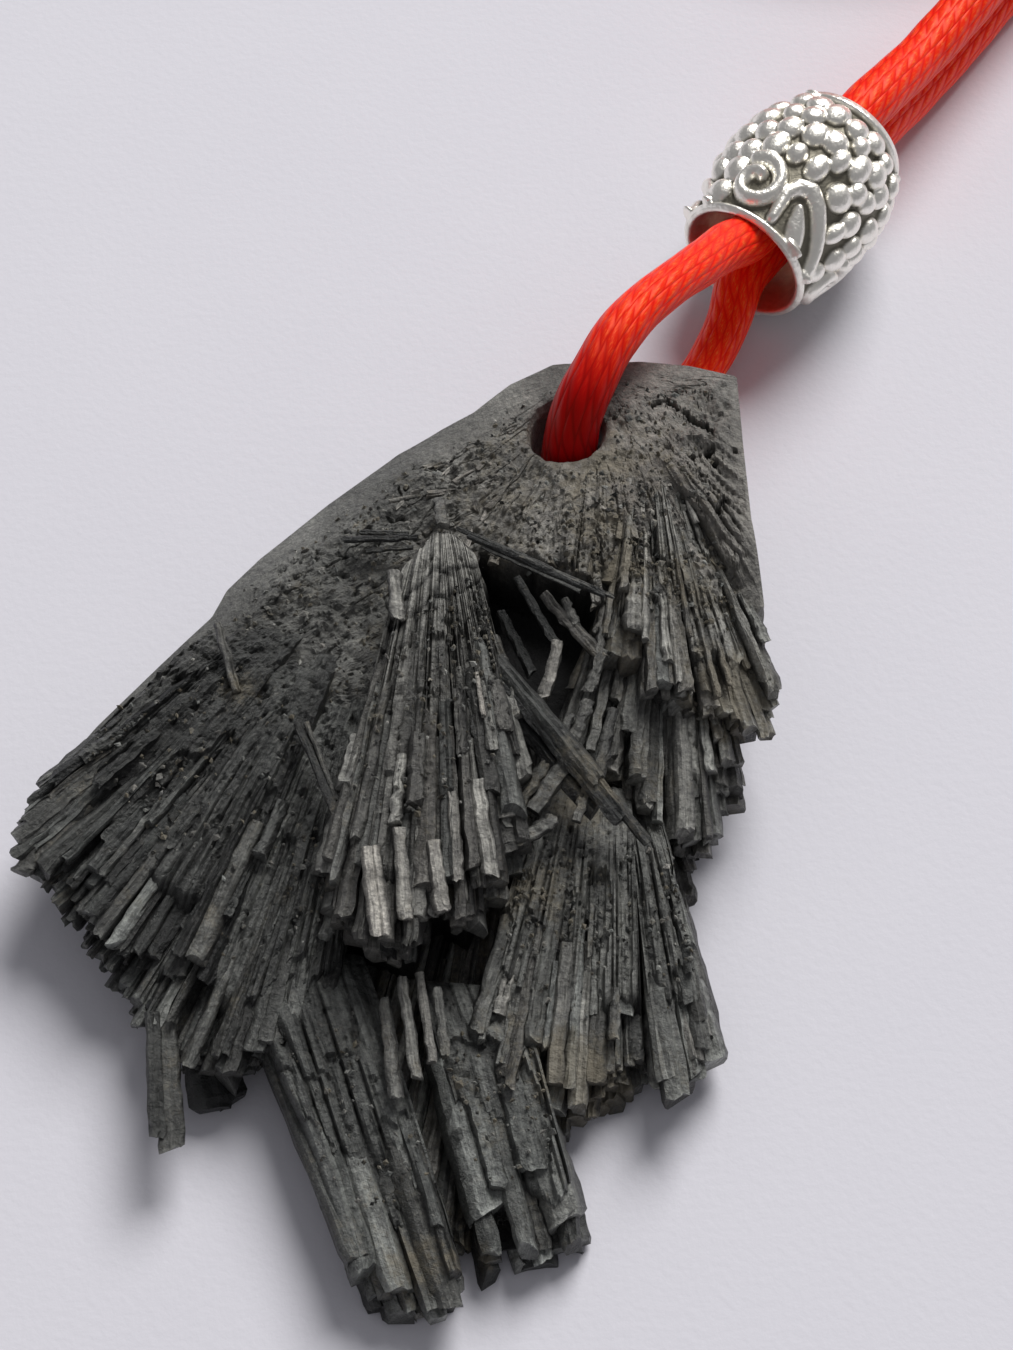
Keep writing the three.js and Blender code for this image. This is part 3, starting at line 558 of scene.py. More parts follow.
def laths(starts, ends, widths, thickness, rolls, seed, tone, warmth, dust, flare, stations=STATIONS):
    """Crystal blades from starts to ends, which both lie on their top faces.

    A blade's corner is the point along its line, plus its section's corner times half its width
    across and half its thickness up. The width grows outwards as flare + (1 - flare) t, and every
    station and corner is moved a little at random. The end is broken on a slant.
    """
    rng = np.random.default_rng(seed)
    count, steps, sides = len(starts), len(stations), len(SECTION)
    t = stations[None, :, None]
    heading = unit(ends - starts)
    across = unit(np.cross(heading, [0.0, 0.0, 1.0]))
    above = np.cross(across, heading)
    cos, sin = np.cos(rolls)[:, None], np.sin(rolls)[:, None]
    across, above = across * cos + above * sin, above * cos - across * sin
    line = starts[:, None] + (ends - starts)[:, None] * t
    line = line - above[:, None] * (thickness / 2)[:, None, None]
    calm = np.minimum(1, 0.5 / widths)[:, None, None]
    stray = rng.normal(0, LINE_STRAY, (count, steps, 2)) * widths[:, None, None] * calm
    line = line + across[:, None] * stray[..., :1] * 1.6 + above[:, None] * stray[..., 1:]
    flare = flare[:, None, None]
    growth = (flare + (1 - flare) * t) * (1 + rng.normal(0, GROWTH_STRAY, (count, steps, 1)) * calm)
    growth[:, -1] *= 0.9
    shape = SECTION[None, None] * (1 + rng.normal(0, CORNER_STRAY, (count, 1, sides, 2)))
    shape = shape * (1 + rng.normal(0, STATION_STRAY, (count, steps, sides, 2)) * calm[..., None])
    wide = shape[..., 0] * widths[:, None, None] / 2 * growth
    tall = shape[..., 1] * thickness[:, None, None] / 2 * (0.7 + 0.3 * growth)
    slant = rng.normal(0, END_SLANT, (count, 1, 2))
    reach = wide * slant[..., :1] + tall * slant[..., 1:] + rng.normal(0, END_CHIPS, (count, steps, sides))
    along_end = np.where(t > END_FROM, reach, 0.0)
    points = (
        line[:, :, None] + across[:, None, None] * wide[..., None] + above[:, None, None] * tall[..., None]
        + heading[:, None, None] * along_end[..., None]
    )
    points = keep_inside(points.reshape(-1, 3))

    length = np.linalg.norm(ends - starts, axis=1)[:, None, None] * t
    grain = np.stack([
        wide + tall * 0.6 + rng.uniform(0, GRAIN_SPREAD, (count, 1, 1)),
        np.broadcast_to(length, wide.shape) + rng.uniform(0, GRAIN_SPREAD, (count, 1, 1)),
        np.broadcast_to(rng.uniform(0, GRAIN_SPREAD, (count, 1, 1)), wide.shape),
    ], axis=-1)
    is_end = t == 1
    paler = tone[:, None, None] * (1 + rng.normal(0, TONE_STRAY, (count, steps, 1))) + END_PALER * is_end
    # Painted shade on the lower corners of each section, less of it at the broken end.
    groove_and_shade = np.broadcast_to(SECTION_SHADE, wide.shape) * (1 - END_LESS_SHADE * is_end)

    def by_corner(values):
        return np.broadcast_to(values, wide.shape).ravel()

    attributes = {
        "grain": grain.reshape(-1, 3),
        "tone": np.clip(by_corner(paler), 0, 1),
        "warmth": by_corner(warmth[:, None, None]),
        "dust": by_corner(dust[:, None, None]) + dust_at(points[:, 0], points[:, 1]),
        "groove_and_shade": groove_and_shade.ravel(),
    }
    base = (np.arange(count) * steps * sides)[:, None, None]
    walls = (grid_faces(steps, sides, wrap_columns=True)[None] + base).reshape(-1, 4)
    first = (np.arange(sides)[None, ::-1] + base[:, 0]).reshape(-1, sides)
    last = (np.arange(sides)[None] + (steps - 1) * sides + base[:, 0]).reshape(-1, sides)
    return points, [walls, first, last], attributes


def grid_uv(rows, columns, row_values):
    """UV pairs for the corners of a grid closed round its columns: turns round, and the row's value."""
    i, j = np.meshgrid(np.arange(rows - 1), np.arange(columns), indexing="ij")
    i, j = i.ravel(), j.ravel()
    u = np.stack([j, j + 1, j + 1, j], axis=1) / columns
    v = np.stack([row_values[i], row_values[i], row_values[i + 1], row_values[i + 1]], axis=1)
    return np.stack([u.ravel(), v.ravel()], axis=1)


# ---- cord --------------------------------------------------------------------------------------
CORD_COLUMNS = 12
CORD_FLOAT_LENGTH = 1.25
CORD_STEP = 0.25
CORD_SIDES = 28
# The cord is painted darker near the hole, as the shade where it bends into it, and full red beyond it:
# distances from the hole's middle.
CORD_SHADE_NEAR_HOLE = (3.4, 8.8)
# Where the cord is pulled thin between the hole and the bead: distance along it, and its thickness
# as a share of the full one.
PULLED_THIN = [(0, 0.98), (3, 0.96), (7, 0.86), (11, 0.80), (15, 0.84), (19, 0.97), (23, 1.0)]
COIL_STEPS = 400
# The way from the coil's last turn in to the knot: bearings from the coil's centre, and distances.
INTO_KNOT = [(-50, 9.9), (-25, 9.2), (0, 8.3), (25, 7.2), (48, 6.2)]
KNOT_WRAPS, WRAP_CORE, WRAP_SWELL, WRAP_RADIUS = 3.25, 0.7, 1.65, 1.2
TAIL_SPREAD, TAIL_RADIUS, TAIL_SEAL = 0.35, 1.22, 0.9
# Its reds, each pair first in the painted shade near the hole and then beyond it: between the floats,
# painted darker as the shade in the gaps, and on them; and the painted glints on the floats' fibres.
SHADE_BETWEEN_FLOATS = (0.34, 0.0, 0.003, 1), (0.88, 0.006, 0.003, 1)
ON_FLOATS = (0.50, 0.0, 0.004, 1), (1.0, 0.020, 0.004, 1)
PAINTED_GLINT_FIBRES = (1.0, 0.16, 0.03, 1)


def cord_material():
    """Red satin cord: columns along it of long slanted floats, each column half a float ahead of the
    one before it. Its red carries painted shade between the floats and near the hole, and painted
    glints on the floats' fibres."""
    material, n, shader = new_material("red_satin_cord")
    tree, g, given, out = new_group(
        "satin_loops", [("Turns", VECTOR)], [("Height", FLOAT), ("Float", FLOAT)]
    )
    parts = g.add("ShaderNodeSeparateXYZ", Vector=given["Turns"]).outputs
    column_place = g.math("MULTIPLY", parts["X"], float(CORD_COLUMNS))
    column = g.math("FRACT", column_place)
    which = g.math("FLOOR", column_place)
    row_place = g.math("ADD", g.math("DIVIDE", parts["Y"], CORD_FLOAT_LENGTH), column)
    row = g.math("FRACT", g.math("ADD", row_place, g.math("MULTIPLY", which, 0.5)))
    middle = g.math("ABSOLUTE", g.math("MULTIPLY_ADD", column, 2.0, -1.0))
    ridge = g.math("SUBTRACT", 1.0, g.math("POWER", middle, 4.0))
    swell = g.math("SINE", g.math("MULTIPLY", row, math.pi))
    floats = g.math("MULTIPLY", ridge, g.math("POWER", swell, 1.4))
    g.feed(out["Height"], g.math("MULTIPLY_ADD", floats, 0.8, g.math("MULTIPLY", ridge, 0.2)))
    g.feed(out["Float"], floats)
    turns = n.add("ShaderNodeTexCoord").outputs["UV"]
    loops = use_group(n, tree, Turns=turns)
    fibres = n.noise(n.scaled(turns, 130.0, 3.0, 1.0), 1.0, 2.0)
    along = n.add("ShaderNodeSeparateXYZ", Vector=turns).outputs["Y"]
    past_hole_shade = n.remap(along, *CORD_SHADE_NEAR_HOLE)
    groove_and_shade = n.mix(past_hole_shade, *SHADE_BETWEEN_FLOATS)
    satin = n.mix(past_hole_shade, *ON_FLOATS)
    # Painted shade between the floats, darker still near the hole.
    body = n.mix(n.remap(loops["Float"], 0.0, 0.4), groove_and_shade, satin)
    # Painted glints on the floats' fibres, none near the hole.
    glint = n.math("MULTIPLY", n.remap(fibres, 0.45, 0.7), n.math("MULTIPLY", loops["Float"], past_hole_shade))
    body = n.mix(glint, body, PAINTED_GLINT_FIBRES)
    n.feed(shader.inputs["Base Color"], body)
    n.feed(shader.inputs["Roughness"], n.math("MULTIPLY_ADD", fibres, 0.2, 0.32))
    shader.inputs["Specular IOR Level"].default_value = 0.4
    shader.inputs["Specular Tint"].default_value = (1.0, 0.3, 0.1, 1)
    n.feed(shader.inputs["Normal"], bump(n, loops["Height"], 0.055))
    return material


def through(points):
    """Points CORD_STEP apart on the centripetal Catmull-Rom curve through the given ones."""
    points = np.array(points, float)
    points = np.vstack([2 * points[0] - points[1], points, 2 * points[-1] - points[-2]])
    before, here, there, after = points[:-3], points[1:-2], points[2:-1], points[3:]
    d0, d1, d2 = (
        np.sqrt(np.linalg.norm(b - a, axis=1, keepdims=True))
        for a, b in ((before, here), (here, there), (there, after))
    )
    leave = ((here - before) / d0 - (there - before) / (d0 + d1) + (there - here) / d1) * d1
    reach = ((there - here) / d1 - (after - here) / (d1 + d2) + (after - there) / d2) * d1
    t = np.linspace(0, 1, 40, endpoint=False)[:, None, None]
    curve = (
        (2 * t**3 - 3 * t**2 + 1) * here + (t**3 - 2 * t**2 + t) * leave
        + (3 * t**2 - 2 * t**3) * there + (t**3 - t**2) * reach
    )
    curve = np.vstack([curve.transpose(1, 0, 2).reshape(-1, 3), points[-2]])
    return evenly(curve, CORD_STEP)


def tube(path, radius):
    """A tube along a path: a ring across the path at each point, turned as little as possible from
    the one before, with its radius at each point and flat caps. Returns points, faces and UV pairs."""
    count, sides = len(path), CORD_SIDES
    heading = unit(np.gradient(path, axis=0))
    normal = unit(np.cross(heading[0], [0.31, 0.2, 0.93]))
    normals = np.empty_like(path)
    for i, ahead in enumerate(heading):
        normal = normal - ahead * (normal @ ahead)
        normal = normal / np.linalg.norm(normal)
        normals[i] = normal
    side = np.cross(heading, normals)
    turn = np.arange(sides) / sides * math.tau
    radius = np.broadcast_to(radius, count)[:, None, None]
    ring = normals[:, None] * np.cos(turn)[None, :, None] + side[:, None] * np.sin(turn)[None, :, None]
    points = (path[:, None] + ring * radius).reshape(-1, 3)
    caps = np.stack([np.arange(sides)[::-1], np.arange(sides) + (count - 1) * sides])
    place = places_along(path)
    cap_uv = np.zeros((2 * sides, 2))
    cap_uv[:, 1] = np.repeat(place[[0, -1]], sides)
    uv = np.vstack([grid_uv(count, sides, place), cap_uv])
    return points, [grid_faces(count, sides, wrap_columns=True), caps], uv


def on_line(distance, height):
    """A point at a height over the straight line that the doubled cord lies along."""
    return FLOOR_SEAT + AHEAD * distance + np.array([0, 0, height])


def from_coil(radius, bearing, height):
    """Points at distances and bearings in radians from the coil's centre."""
    return COIL_CENTRE + np.stack(
        [radius * np.cos(bearing), radius * np.sin(bearing), height + 0 * bearing], axis=-1
    )


def coil_run(height, into_knot):
    """One run's way from the straight stretch round its coil and into the knot: a spiral that comes in
    by one cord's thickness each turn, then a smooth curve through the points of INTO_KNOT."""
    turns = np.linspace(0, COIL_TURNS, COIL_STEPS)
    start = math.degrees(CORD_AZIMUTH) - 90
    spiral = from_coil(COIL_OUTER_TURN - CORD_DIAMETER * turns, np.radians(start + turns * 360), height)
    bearing, radius = np.transpose(INTO_KNOT)
    inner = from_coil(radius, np.radians(bearing), height)
    inner[-1, 2] = (height + into_knot) / 2
    end = KNOT_CENTRE + [KNOT_LENGTH / 2, 0, into_knot - KNOT_CENTRE[2]]
    closing = through([*spiral[-2:], *inner, end, end - [0.6, 0, 0]])
    return evenly(np.vstack([spiral[:-2], closing]), CORD_STEP)


# The middle line of each run from inside the drilled hole to where the coil starts: the front run goes
# up over the stone's edge, and the back run down under it.
FRONT_ROUTE = [
    (7.25, 16.85, 5.5), (7.25, 16.87, 6.2), (7.3, 17.05, 7.1), (7.45, 17.4, 8.2), (7.8, 18.0, 9.05),
    (8.35, 18.95, 9.6), (9.05, 20.3, 9.85), (10.2, 22.1, 9.75), (11.85, 24.25, 9.1), (13.3, 26.2, 8.1),
    (14.75, 28.4, 6.75),
    *(on_line(d, z) for d, z in (
        (-5.0, 5.75), (-3.4, HIGH), (0, HIGH), (3.6, HIGH), (7, 5.0), (11, COIL_HIGH + 0.3),
        (16, COIL_HIGH), (25, COIL_HIGH), (34, COIL_HIGH),
    )),
]
BACK_ROUTE = [
    (7.25, 16.85, 5.2), (7.25, 16.87, 4.7), (7.45, 17.1, 3.9), (8.0, 17.75, 2.7), (9.1, 19.0, 1.55),
    (10.6, 20.9, 1.25), (12.5, 23.3, 1.25), (14.2, 25.8, 1.45), (15.2, 27.9, 1.85),
    *(on_line(d, z) for d, z in (
        (-5.0, 2.65), (-3.4, LOW), (0, LOW), (3.6, LOW), (7, 2.4), (11, COIL_LOW + 0.3),
        (16, COIL_LOW), (25, COIL_LOW), (34, COIL_LOW),
    )),
]


def cord_strand(name, route, height, into_knot):
    """One strand of the doubled cord, from the middle of the hole to its end knot."""
    run = evenly(np.vstack([through(route), coil_run(height, into_knot)]), CORD_STEP)
    along = np.arange(len(run)) * CORD_STEP
    thin = np.interp(along, *zip(*PULLED_THIN))
    uneven = 1 + 0.012 * np.sin(along * 1.9) + 0.012 * np.sin(along * 0.83 + 1.0)
    points, faces, uv = tube(run, CORD_DIAMETER / 2 * thin * uneven)
    strand = make_piece(name, keep_off_floor(points), faces, CORD_FINISH, uv=uv, smooth=True)
    return strand, run


def end_knot():
    """The knot that holds the two strands: a helix of wraps, narrower at both its ends, and two short
    tails, each rounded off over TAIL_SEAL at its end."""
    half = KNOT_LENGTH / 2
    t = np.linspace(0, 1, 420)
    radius = WRAP_CORE + WRAP_SWELL * np.clip(np.minimum(t, 1 - t) / 0.12, 0, 1) ** 0.6
    turned = t * KNOT_WRAPS * math.tau + 0.6
    wrap = np.stack([(half - 1.0) * (1 - 2 * t), radius * np.cos(turned), radius * np.sin(turned)], axis=1)
    tubes = [tube(evenly(KNOT_CENTRE + wrap, CORD_STEP), WRAP_RADIUS)]
    for way in (1, -1):
        side, spread = way * STACK_PITCH / 2, way * TAIL_SPREAD
        tail = through(KNOT_CENTRE + [
            (half, 0, side), (0, 0, side * 0.8), (-half, spread, side), (-half - KNOT_TAIL, spread * 2, side),
        ])
        left = line_length(tail) - np.arange(len(tail)) * CORD_STEP
        rounded = 1 - (1 - np.clip(left / TAIL_SEAL, 0, 1)) ** 2
        tubes.append(tube(tail, TAIL_RADIUS * np.sqrt(np.clip(rounded, 0.03, 1))))
    points, faces, _ = joined([(tube_points, tube_faces, {}) for tube_points, tube_faces, _ in tubes])
    uv = np.vstack([tube_uv for _, _, tube_uv in tubes])
    return make_piece(
        "end_knot_cord", keep_off_floor(points), faces, CORD_FINISH, uv=uv, smooth=True,
    )


CORD_FINISH = cord_material()
front_strand, front_run = cord_strand(
    "front_strand", FRONT_ROUTE, COIL_HIGH, KNOT_CENTRE[2] + STACK_PITCH / 2
)
back_strand, back_run = cord_strand(
    "back_strand", BACK_ROUTE, COIL_LOW, KNOT_CENTRE[2] - STACK_PITCH / 2
)
knot_piece = end_knot()
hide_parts("cord_front", "cord_coil")
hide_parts("cord_back", "cord_coil")
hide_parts("end_knot")


# ---- bead --------------------------------------------------------------------------------------
# The bead's coordinates: distance along its axis from its centre, negative towards the stone, and
# degrees round it from its left side over the top.
BEAD_PROFILE = [
    (-5.1, 3.3), (-4.95, 3.45), (-4.6, 3.52), (-3.9, 3.66), (-3.0, 3.86), (-1.5, 4.1), (0.0, 4.2),
    (1.2, 4.1), (2.2, 3.88), (3.0, 3.6), (3.4, 3.42), (3.75, 3.3), (3.92, 3.24), (4.0, 3.12),
]
GRANULES = [
    (-1.6, 55.5), (-0.15, 57), (0.27, 72.6), (-1.0, 72.4), (-1.0, 90.4), (0.5, 91.7), (0.75, 106),
    (0.1, 117), (-1.04, 108), (0.71, 132), (-1.28, 134), (2.4, 112), (2.5, 92), (1.6, 79.8),
    (0.02, 153), (-1.45, 155.6), (-2.4, 152), (-4.1, 50), (1.5, 64), (1.7, 122), (1.5, 146),
    (2.7, 74), (2.75, 130), (2.6, 148), (-0.3, 142), (1.15, 160), (2.9, 56), (-2.75, 54),
]
GRANULE_SIZES = (0.54, 0.74)
GRANULE_HEIGHT = 0.56
SCROLL_CENTRE = (-3.25, 77.5)
ARCH_LINE = [
    (-4.4, 106), (-3.1, 103), (-2.4, 107), (-2.15, 116), (-2.5, 127), (-3.1, 139), (-3.8, 153),
    (-4.7, 166),
]
DROP_LINE = [(-3.3, 117), (-3.9, 124), (-4.5, 133), (-4.9, 140)]
# Each raised line: its points, its half width at its ends, and how much more it has in its middle.
RAISED_LINES = ((ARCH_LINE, 0.36, 0.1), (DROP_LINE, 0.26, 0.3))
LINE_HEIGHT = 0.46
LINE_RADIUS = 3.85
REPEATS = 3
GROUND_SUNK = 0.36
# Where the sunk ground and the ornament fade in behind the near rim, and out before the far one.
GROUND_IN, GROUND_OUT = (-5.0, -4.6), (-3.6, -3.3)
ORNAMENT_IN, ORNAMENT_OUT = (-5.08, -4.9), (-3.75, -3.5)
LIP_BULGE, NEAR_LIP_FALL, FAR_LIP_FALL = 0.1, 0.34, 0.3
SILVER = (1.0, 0.97, 0.89, 1)
OXIDE = (0.22, 0.205, 0.165, 1)
BEAD_ROWS, BEAD_COLUMNS = 170, 336


def ridge(distance, half_width, height):
    """The height of a rounded ridge or dome at a distance from its line or centre."""
    return height * np.sqrt(np.clip(1 - (distance / half_width) ** 2, 0, 1))


def bead_relief(axial, degrees, radius):
    """Height of the ornament over the sunk ground of the bead: granules, a scroll, an arch and a drop,
    repeated round it. The unrolled surface is measured in millimetres along and round the bead."""
    raised = np.zeros(axial.shape)
    rng = np.random.default_rng(5)
    turn = np.linspace(0, 1, 60)
    sweep = np.radians(60 + turn * 400)
    reach = 1.34 - 0.9 * turn**1.2
    spiral = list(zip(-reach * np.cos(sweep), reach * np.sin(sweep)))
    for repeat in range(REPEATS):
        ahead = (degrees - repeat * 360 / REPEATS) % 360

        def place(a, deg):
            around = (ahead - deg + 180) % 360 - 180
            return np.radians(around) * radius, axial - a

        for a, deg in GRANULES:
            x, y = place(a, deg)
            size = rng.uniform(*GRANULE_SIZES)
            gap = np.hypot(x * rng.uniform(0.85, 1.1), y * rng.uniform(0.75, 1.0))
            raised = np.maximum(raised, ridge(gap, size, GRANULE_HEIGHT))
        gap, where = to_line(*place(*SCROLL_CENTRE), spiral)
        raised = np.maximum(raised, ridge(gap, 0.44 - 0.1 * where, GRANULE_HEIGHT))
        for line, thin, thicker in RAISED_LINES:
            marks = [(math.radians(deg) * LINE_RADIUS, a) for a, deg in line]
            gap, where = to_line(np.radians(ahead) * LINE_RADIUS, axial, marks)
            half_width = thin + thicker * np.sin(where * math.pi)
            raised = np.maximum(raised, ridge(gap, half_width, LINE_HEIGHT))
    return raised


def make_bead():
    """The bead as one closed sheet: places along its axis and their radii, carried round it.

    The places go out along the barrel with its ornament, round the far lip, back through the bore and
    round the near lip.
    """
    profile = np.array(BEAD_PROFILE)
    axial = np.linspace(profile[0, 0], profile[-1, 0], BEAD_ROWS)
    outer = np.interp(axial, profile[:, 0], profile[:, 1])
    smooth = np.convolve(np.pad(outer, 4, mode="edge"), np.ones(9) / 9, mode="valid")
    smooth[[0, -1]] = outer[[0, -1]]
    degrees = np.arange(BEAD_COLUMNS) / BEAD_COLUMNS * 360
    a, deg = np.meshgrid(axial, degrees, indexing="ij")
    ground = np.broadcast_to(smooth[:, None], a.shape)
    field = smoothstep(a, *GROUND_IN) * smoothstep(-a, *GROUND_OUT)
    raised = bead_relief(a, deg, ground) * smoothstep(a, *ORNAMENT_IN) * smoothstep(-a, *ORNAMENT_OUT)
    barrel = ground - GROUND_SUNK * field + raised
    lip = np.linspace(0, 1, 9)[1:-1]
    (near, near_radius), (far, far_radius) = BEAD_PROFILE[0], BEAD_PROFILE[-1]
    far_lip = [(far + LIP_BULGE * math.sin(t * math.pi), far_radius - FAR_LIP_FALL * t) for t in lip]
    near_lip = [
        (near - LIP_BULGE * math.sin(t * math.pi), near_radius - NEAR_LIP_FALL * (1 - t)) for t in lip
    ]
    bore = [(x, BEAD_BORE + 0.12 * abs(x / 4.5) ** 6) for x in np.linspace(3.9, -5.0, 24)]
    inside = np.array(far_lip + bore + near_lip)
    all_axial = np.vstack([a, np.broadcast_to(inside[:, :1], (len(inside), BEAD_COLUMNS))])
    all_radius = np.vstack([barrel, np.broadcast_to(inside[:, 1:], (len(inside), BEAD_COLUMNS))])
    turned = np.radians(np.broadcast_to(degrees, all_axial.shape))[..., None]
    around = LEFT_OF_AHEAD * np.cos(turned) + np.array([0, 0, 1]) * np.sin(turned)
    points = BEAD_CENTRE + (AHEAD * all_axial[..., None] + around * all_radius[..., None])
    in_bore = np.full((len(inside), BEAD_COLUMNS), 0.35)
    recess = np.concatenate([np.clip(1 - raised / 0.3, 0, 1) * field, in_bore])
    faces = grid_faces(len(all_axial), BEAD_COLUMNS, wrap_rows=True, wrap_columns=True)
    return make_piece(
        "granulated_bead", keep_off_floor(points).reshape(-1, 3), [faces], BEAD_FINISH,
        {"recess": recess.ravel()}, smooth=True,
    )


def bead_material():
    """Polished white metal, darkened by oxide in the recesses of the ornament."""
    material, n, shader = new_material("oxidised_white_metal")
    place = n.object_mm()
    recess = n.attribute("recess")
    cloud = n.noise(place, 1.6, 3.0)
    oxide = n.remap(n.math("MULTIPLY_ADD", cloud, 0.5, n.math("SUBTRACT", recess, 0.25)), 0.2, 0.85)
    n.feed(shader.inputs["Base Color"], n.mix(oxide, SILVER, OXIDE))
    shader.inputs["Metallic"].default_value = 1.0
    polish = n.math("MULTIPLY_ADD", cloud, 0.12, 0.3)
    n.feed(shader.inputs["Roughness"], n.math("MULTIPLY_ADD", oxide, 0.2, polish))
    n.feed(shader.inputs["Normal"], bump(n, n.noise(place, 4.0, 3.0), 0.05))
    return material


BEAD_FINISH = bead_material()
bead = make_bead()
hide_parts("silver_bead")


# ---- the stone: compact body -------------------------------------------------------------------
BODY_COLUMNS = 470
TOP_ROWS, EDGE_ROWS, UNDER_ROWS, BORE_ROWS = 160, 10, 24, 10


def lath_relief(across, along, seed, width, length):
    """Height, groove mask and paleness of laths grown together, for places across and along them in mm.

    Sharp grooves follow the zero lines of noise that changes slowly along the laths, and the same mask
    is painted as shade in them. Each strip breaks off at a random place, and beyond it the surface
    lies a step lower.
    """
    wide = np.abs(value_noise(across / (width * 0.62), along / 7, seed))
    fine = np.abs(value_noise(across / (width * 0.3), along / 4, seed + 1))
    groove_and_shade = np.maximum(np.clip(1 - wide / 0.31, 0, 1), 0.4 * np.clip(1 - fine / 0.28, 0, 1))
    height = 0.05 * value_noise(across / 1.4, along / 2.6, seed + 2) - 0.18 * width * groove_and_shade / 0.5
    pale = np.zeros_like(across)
    for number, (strip, drop) in enumerate(((1.3, 0.2), (2.1, 0.3), (3.4, 0.26))):
        wobble = 0.2 * value_noise(across / 2, along / 3, seed + 3 + number)
        cell = np.floor(across / (width * strip) + wobble)
        chance = value_noise(cell, np.full_like(cell, number), seed + 6) * 0.5 + 0.5
        lift = value_noise(cell, np.full_like(cell, number), seed + 7)
        rough_end = 0.25 * value_noise(across / 0.15, np.zeros_like(across), seed + 8)
        height = height - drop * (along + rough_end > length * (0.25 + 1.1 * chance)) + 0.05 * lift
        pale = pale + lift / 3
    return height, groove_and_shade, pale


def compact_top(x, y):
    """Height, roughness, hollow, painted groove shade and paleness of the stone's compact top.

    Its slope, ground bevel and front fall carry lumps, grains, pits and cracks, and towards the right
    broad ridges that spread from the drilled end and grow with the distance from it. All fade into
    the smooth band that is ground along its edge. The broken grooves and the hollow are cut last.
    """
    angle, radius = from_apex(x, y)
    to_edge, to_front = to_line(x, y, CUT_EDGE)[0], to_line(x, y, FRONT_EDGE)[0]
    height = shield_top(x, y) - bevel_drop(x) * np.clip(1 - to_edge / BEVEL_WIDTH, 0, 1) ** 1.15
    height = height - FRONT_DROP * np.clip(1 - to_front / FRONT_WIDTH, 0, 1) ** 1.5
    fibrous = np.clip((x - 1.5) / 5, 0.12, 1) * smoothstep(radius, 4.5, 10.5)
    ridges, groove_and_shade, pale = lath_relief(angle * 11, radius, 3, 0.95, 14)
    worn = 1 - 0.6 * np.clip(1.4 - np.hypot(x - 9.0, y - 16.8) / 4.5, 0, 1)
    lumps = fractal_noise(x * 0.6, y * 0.6, 8, 3) * 0.18
    grains = fractal_noise(x * 2.1, y * 2.1, 15, 4) * 0.13 * worn
    pitted = np.clip(fractal_noise(x * 1.9, y * 1.9, 25, 3) - 0.6, 0, 1) * 0.45 * worn
    cracks = np.abs(fractal_noise(angle * 9 + 4, radius * 0.5, 21, 3))
    cracks = np.clip(1 - cracks / 0.06, 0, 1) * 0.18 * worn
    band = 0.9 - 0.75 * smoothstep(x, 9.0, 13.5) - 0.6 * smoothstep(-x, 7.5, 10.5)
    rough = np.clip((to_edge - band) / (band + 0.8), 0, 1)
    relief = ridges * 1.3 * fibrous + lumps + grains - pitted - cracks
    height = height + relief * rough + lumps * 0.12 * (1 - rough)
    # Painted shade in the ridges' grooves, the pits and the cracks; the broken grooves add theirs below.
    groove_and_shade = groove_and_shade * fibrous * 0.8 + np.clip(pitted + cracks, 0, 0.8)

    ragged = 0.15 * fractal_noise(x * 4.2, y * 4.2, 71, 3)
    pit = np.zeros(x.shape)
    for half_width, line in BROKEN_GROOVES:
        pit = np.maximum(pit, np.clip((half_width + ragged - to_line(x, y, line)[0]) / 0.12, 0, 1))
    spoil = np.clip(1 - away_from(SPOIL_CENTRE, x, y) / SPOIL_REACH, 0, 1)
    spoil = spoil * np.clip(0.3 + fractal_noise(x * 2.3, y * 2.3, 72, 2), 0, 1)
    height = height - GROOVE_DEPTH * pit + SPOIL_HEIGHT * spoil
    groove_and_shade = groove_and_shade + 0.75 * pit

    inside = depth_inside(x, y, HOLLOW_RIM) + 0.3 * fractal_noise(x * 0.9, y * 0.9, 51, 2)
    sunk = smoothstep(inside, -0.2, 0.7)
    height = height * (1 - sunk) + (HOLLOW_FLOOR + 0.15 * lumps) * sunk
    return height, rough, sunk, np.clip(groove_and_shade * rough, 0, 1), pale * fibrous


def at_height(plan, height):
    """Rows of points from their places in plan and their heights."""
    return np.concatenate([plan, height[..., None]], axis=-1)


def edge_rows(rim, top, count):
    """The rough ground edge, bulging a little, from the top's last row down to the underside."""
    outward = unit(rim - np.array([0.0, 10.5]))
    fall = np.linspace(0, 1, count + 2)[1:-1, None]
    height = top * (1 - fall) + (underside(rim[:, 0], rim[:, 1]) + 0.25) * fall
    uneven = 1 + 0.8 * fractal_noise(rim[:, 0] * 0.8 + rim[:, 1], height * 1.2, 31, 3)
    bulge = 0.1 * np.sin(fall * math.pi) * uneven
    return at_height(rim[None] + outward[None] * bulge[..., None], height)


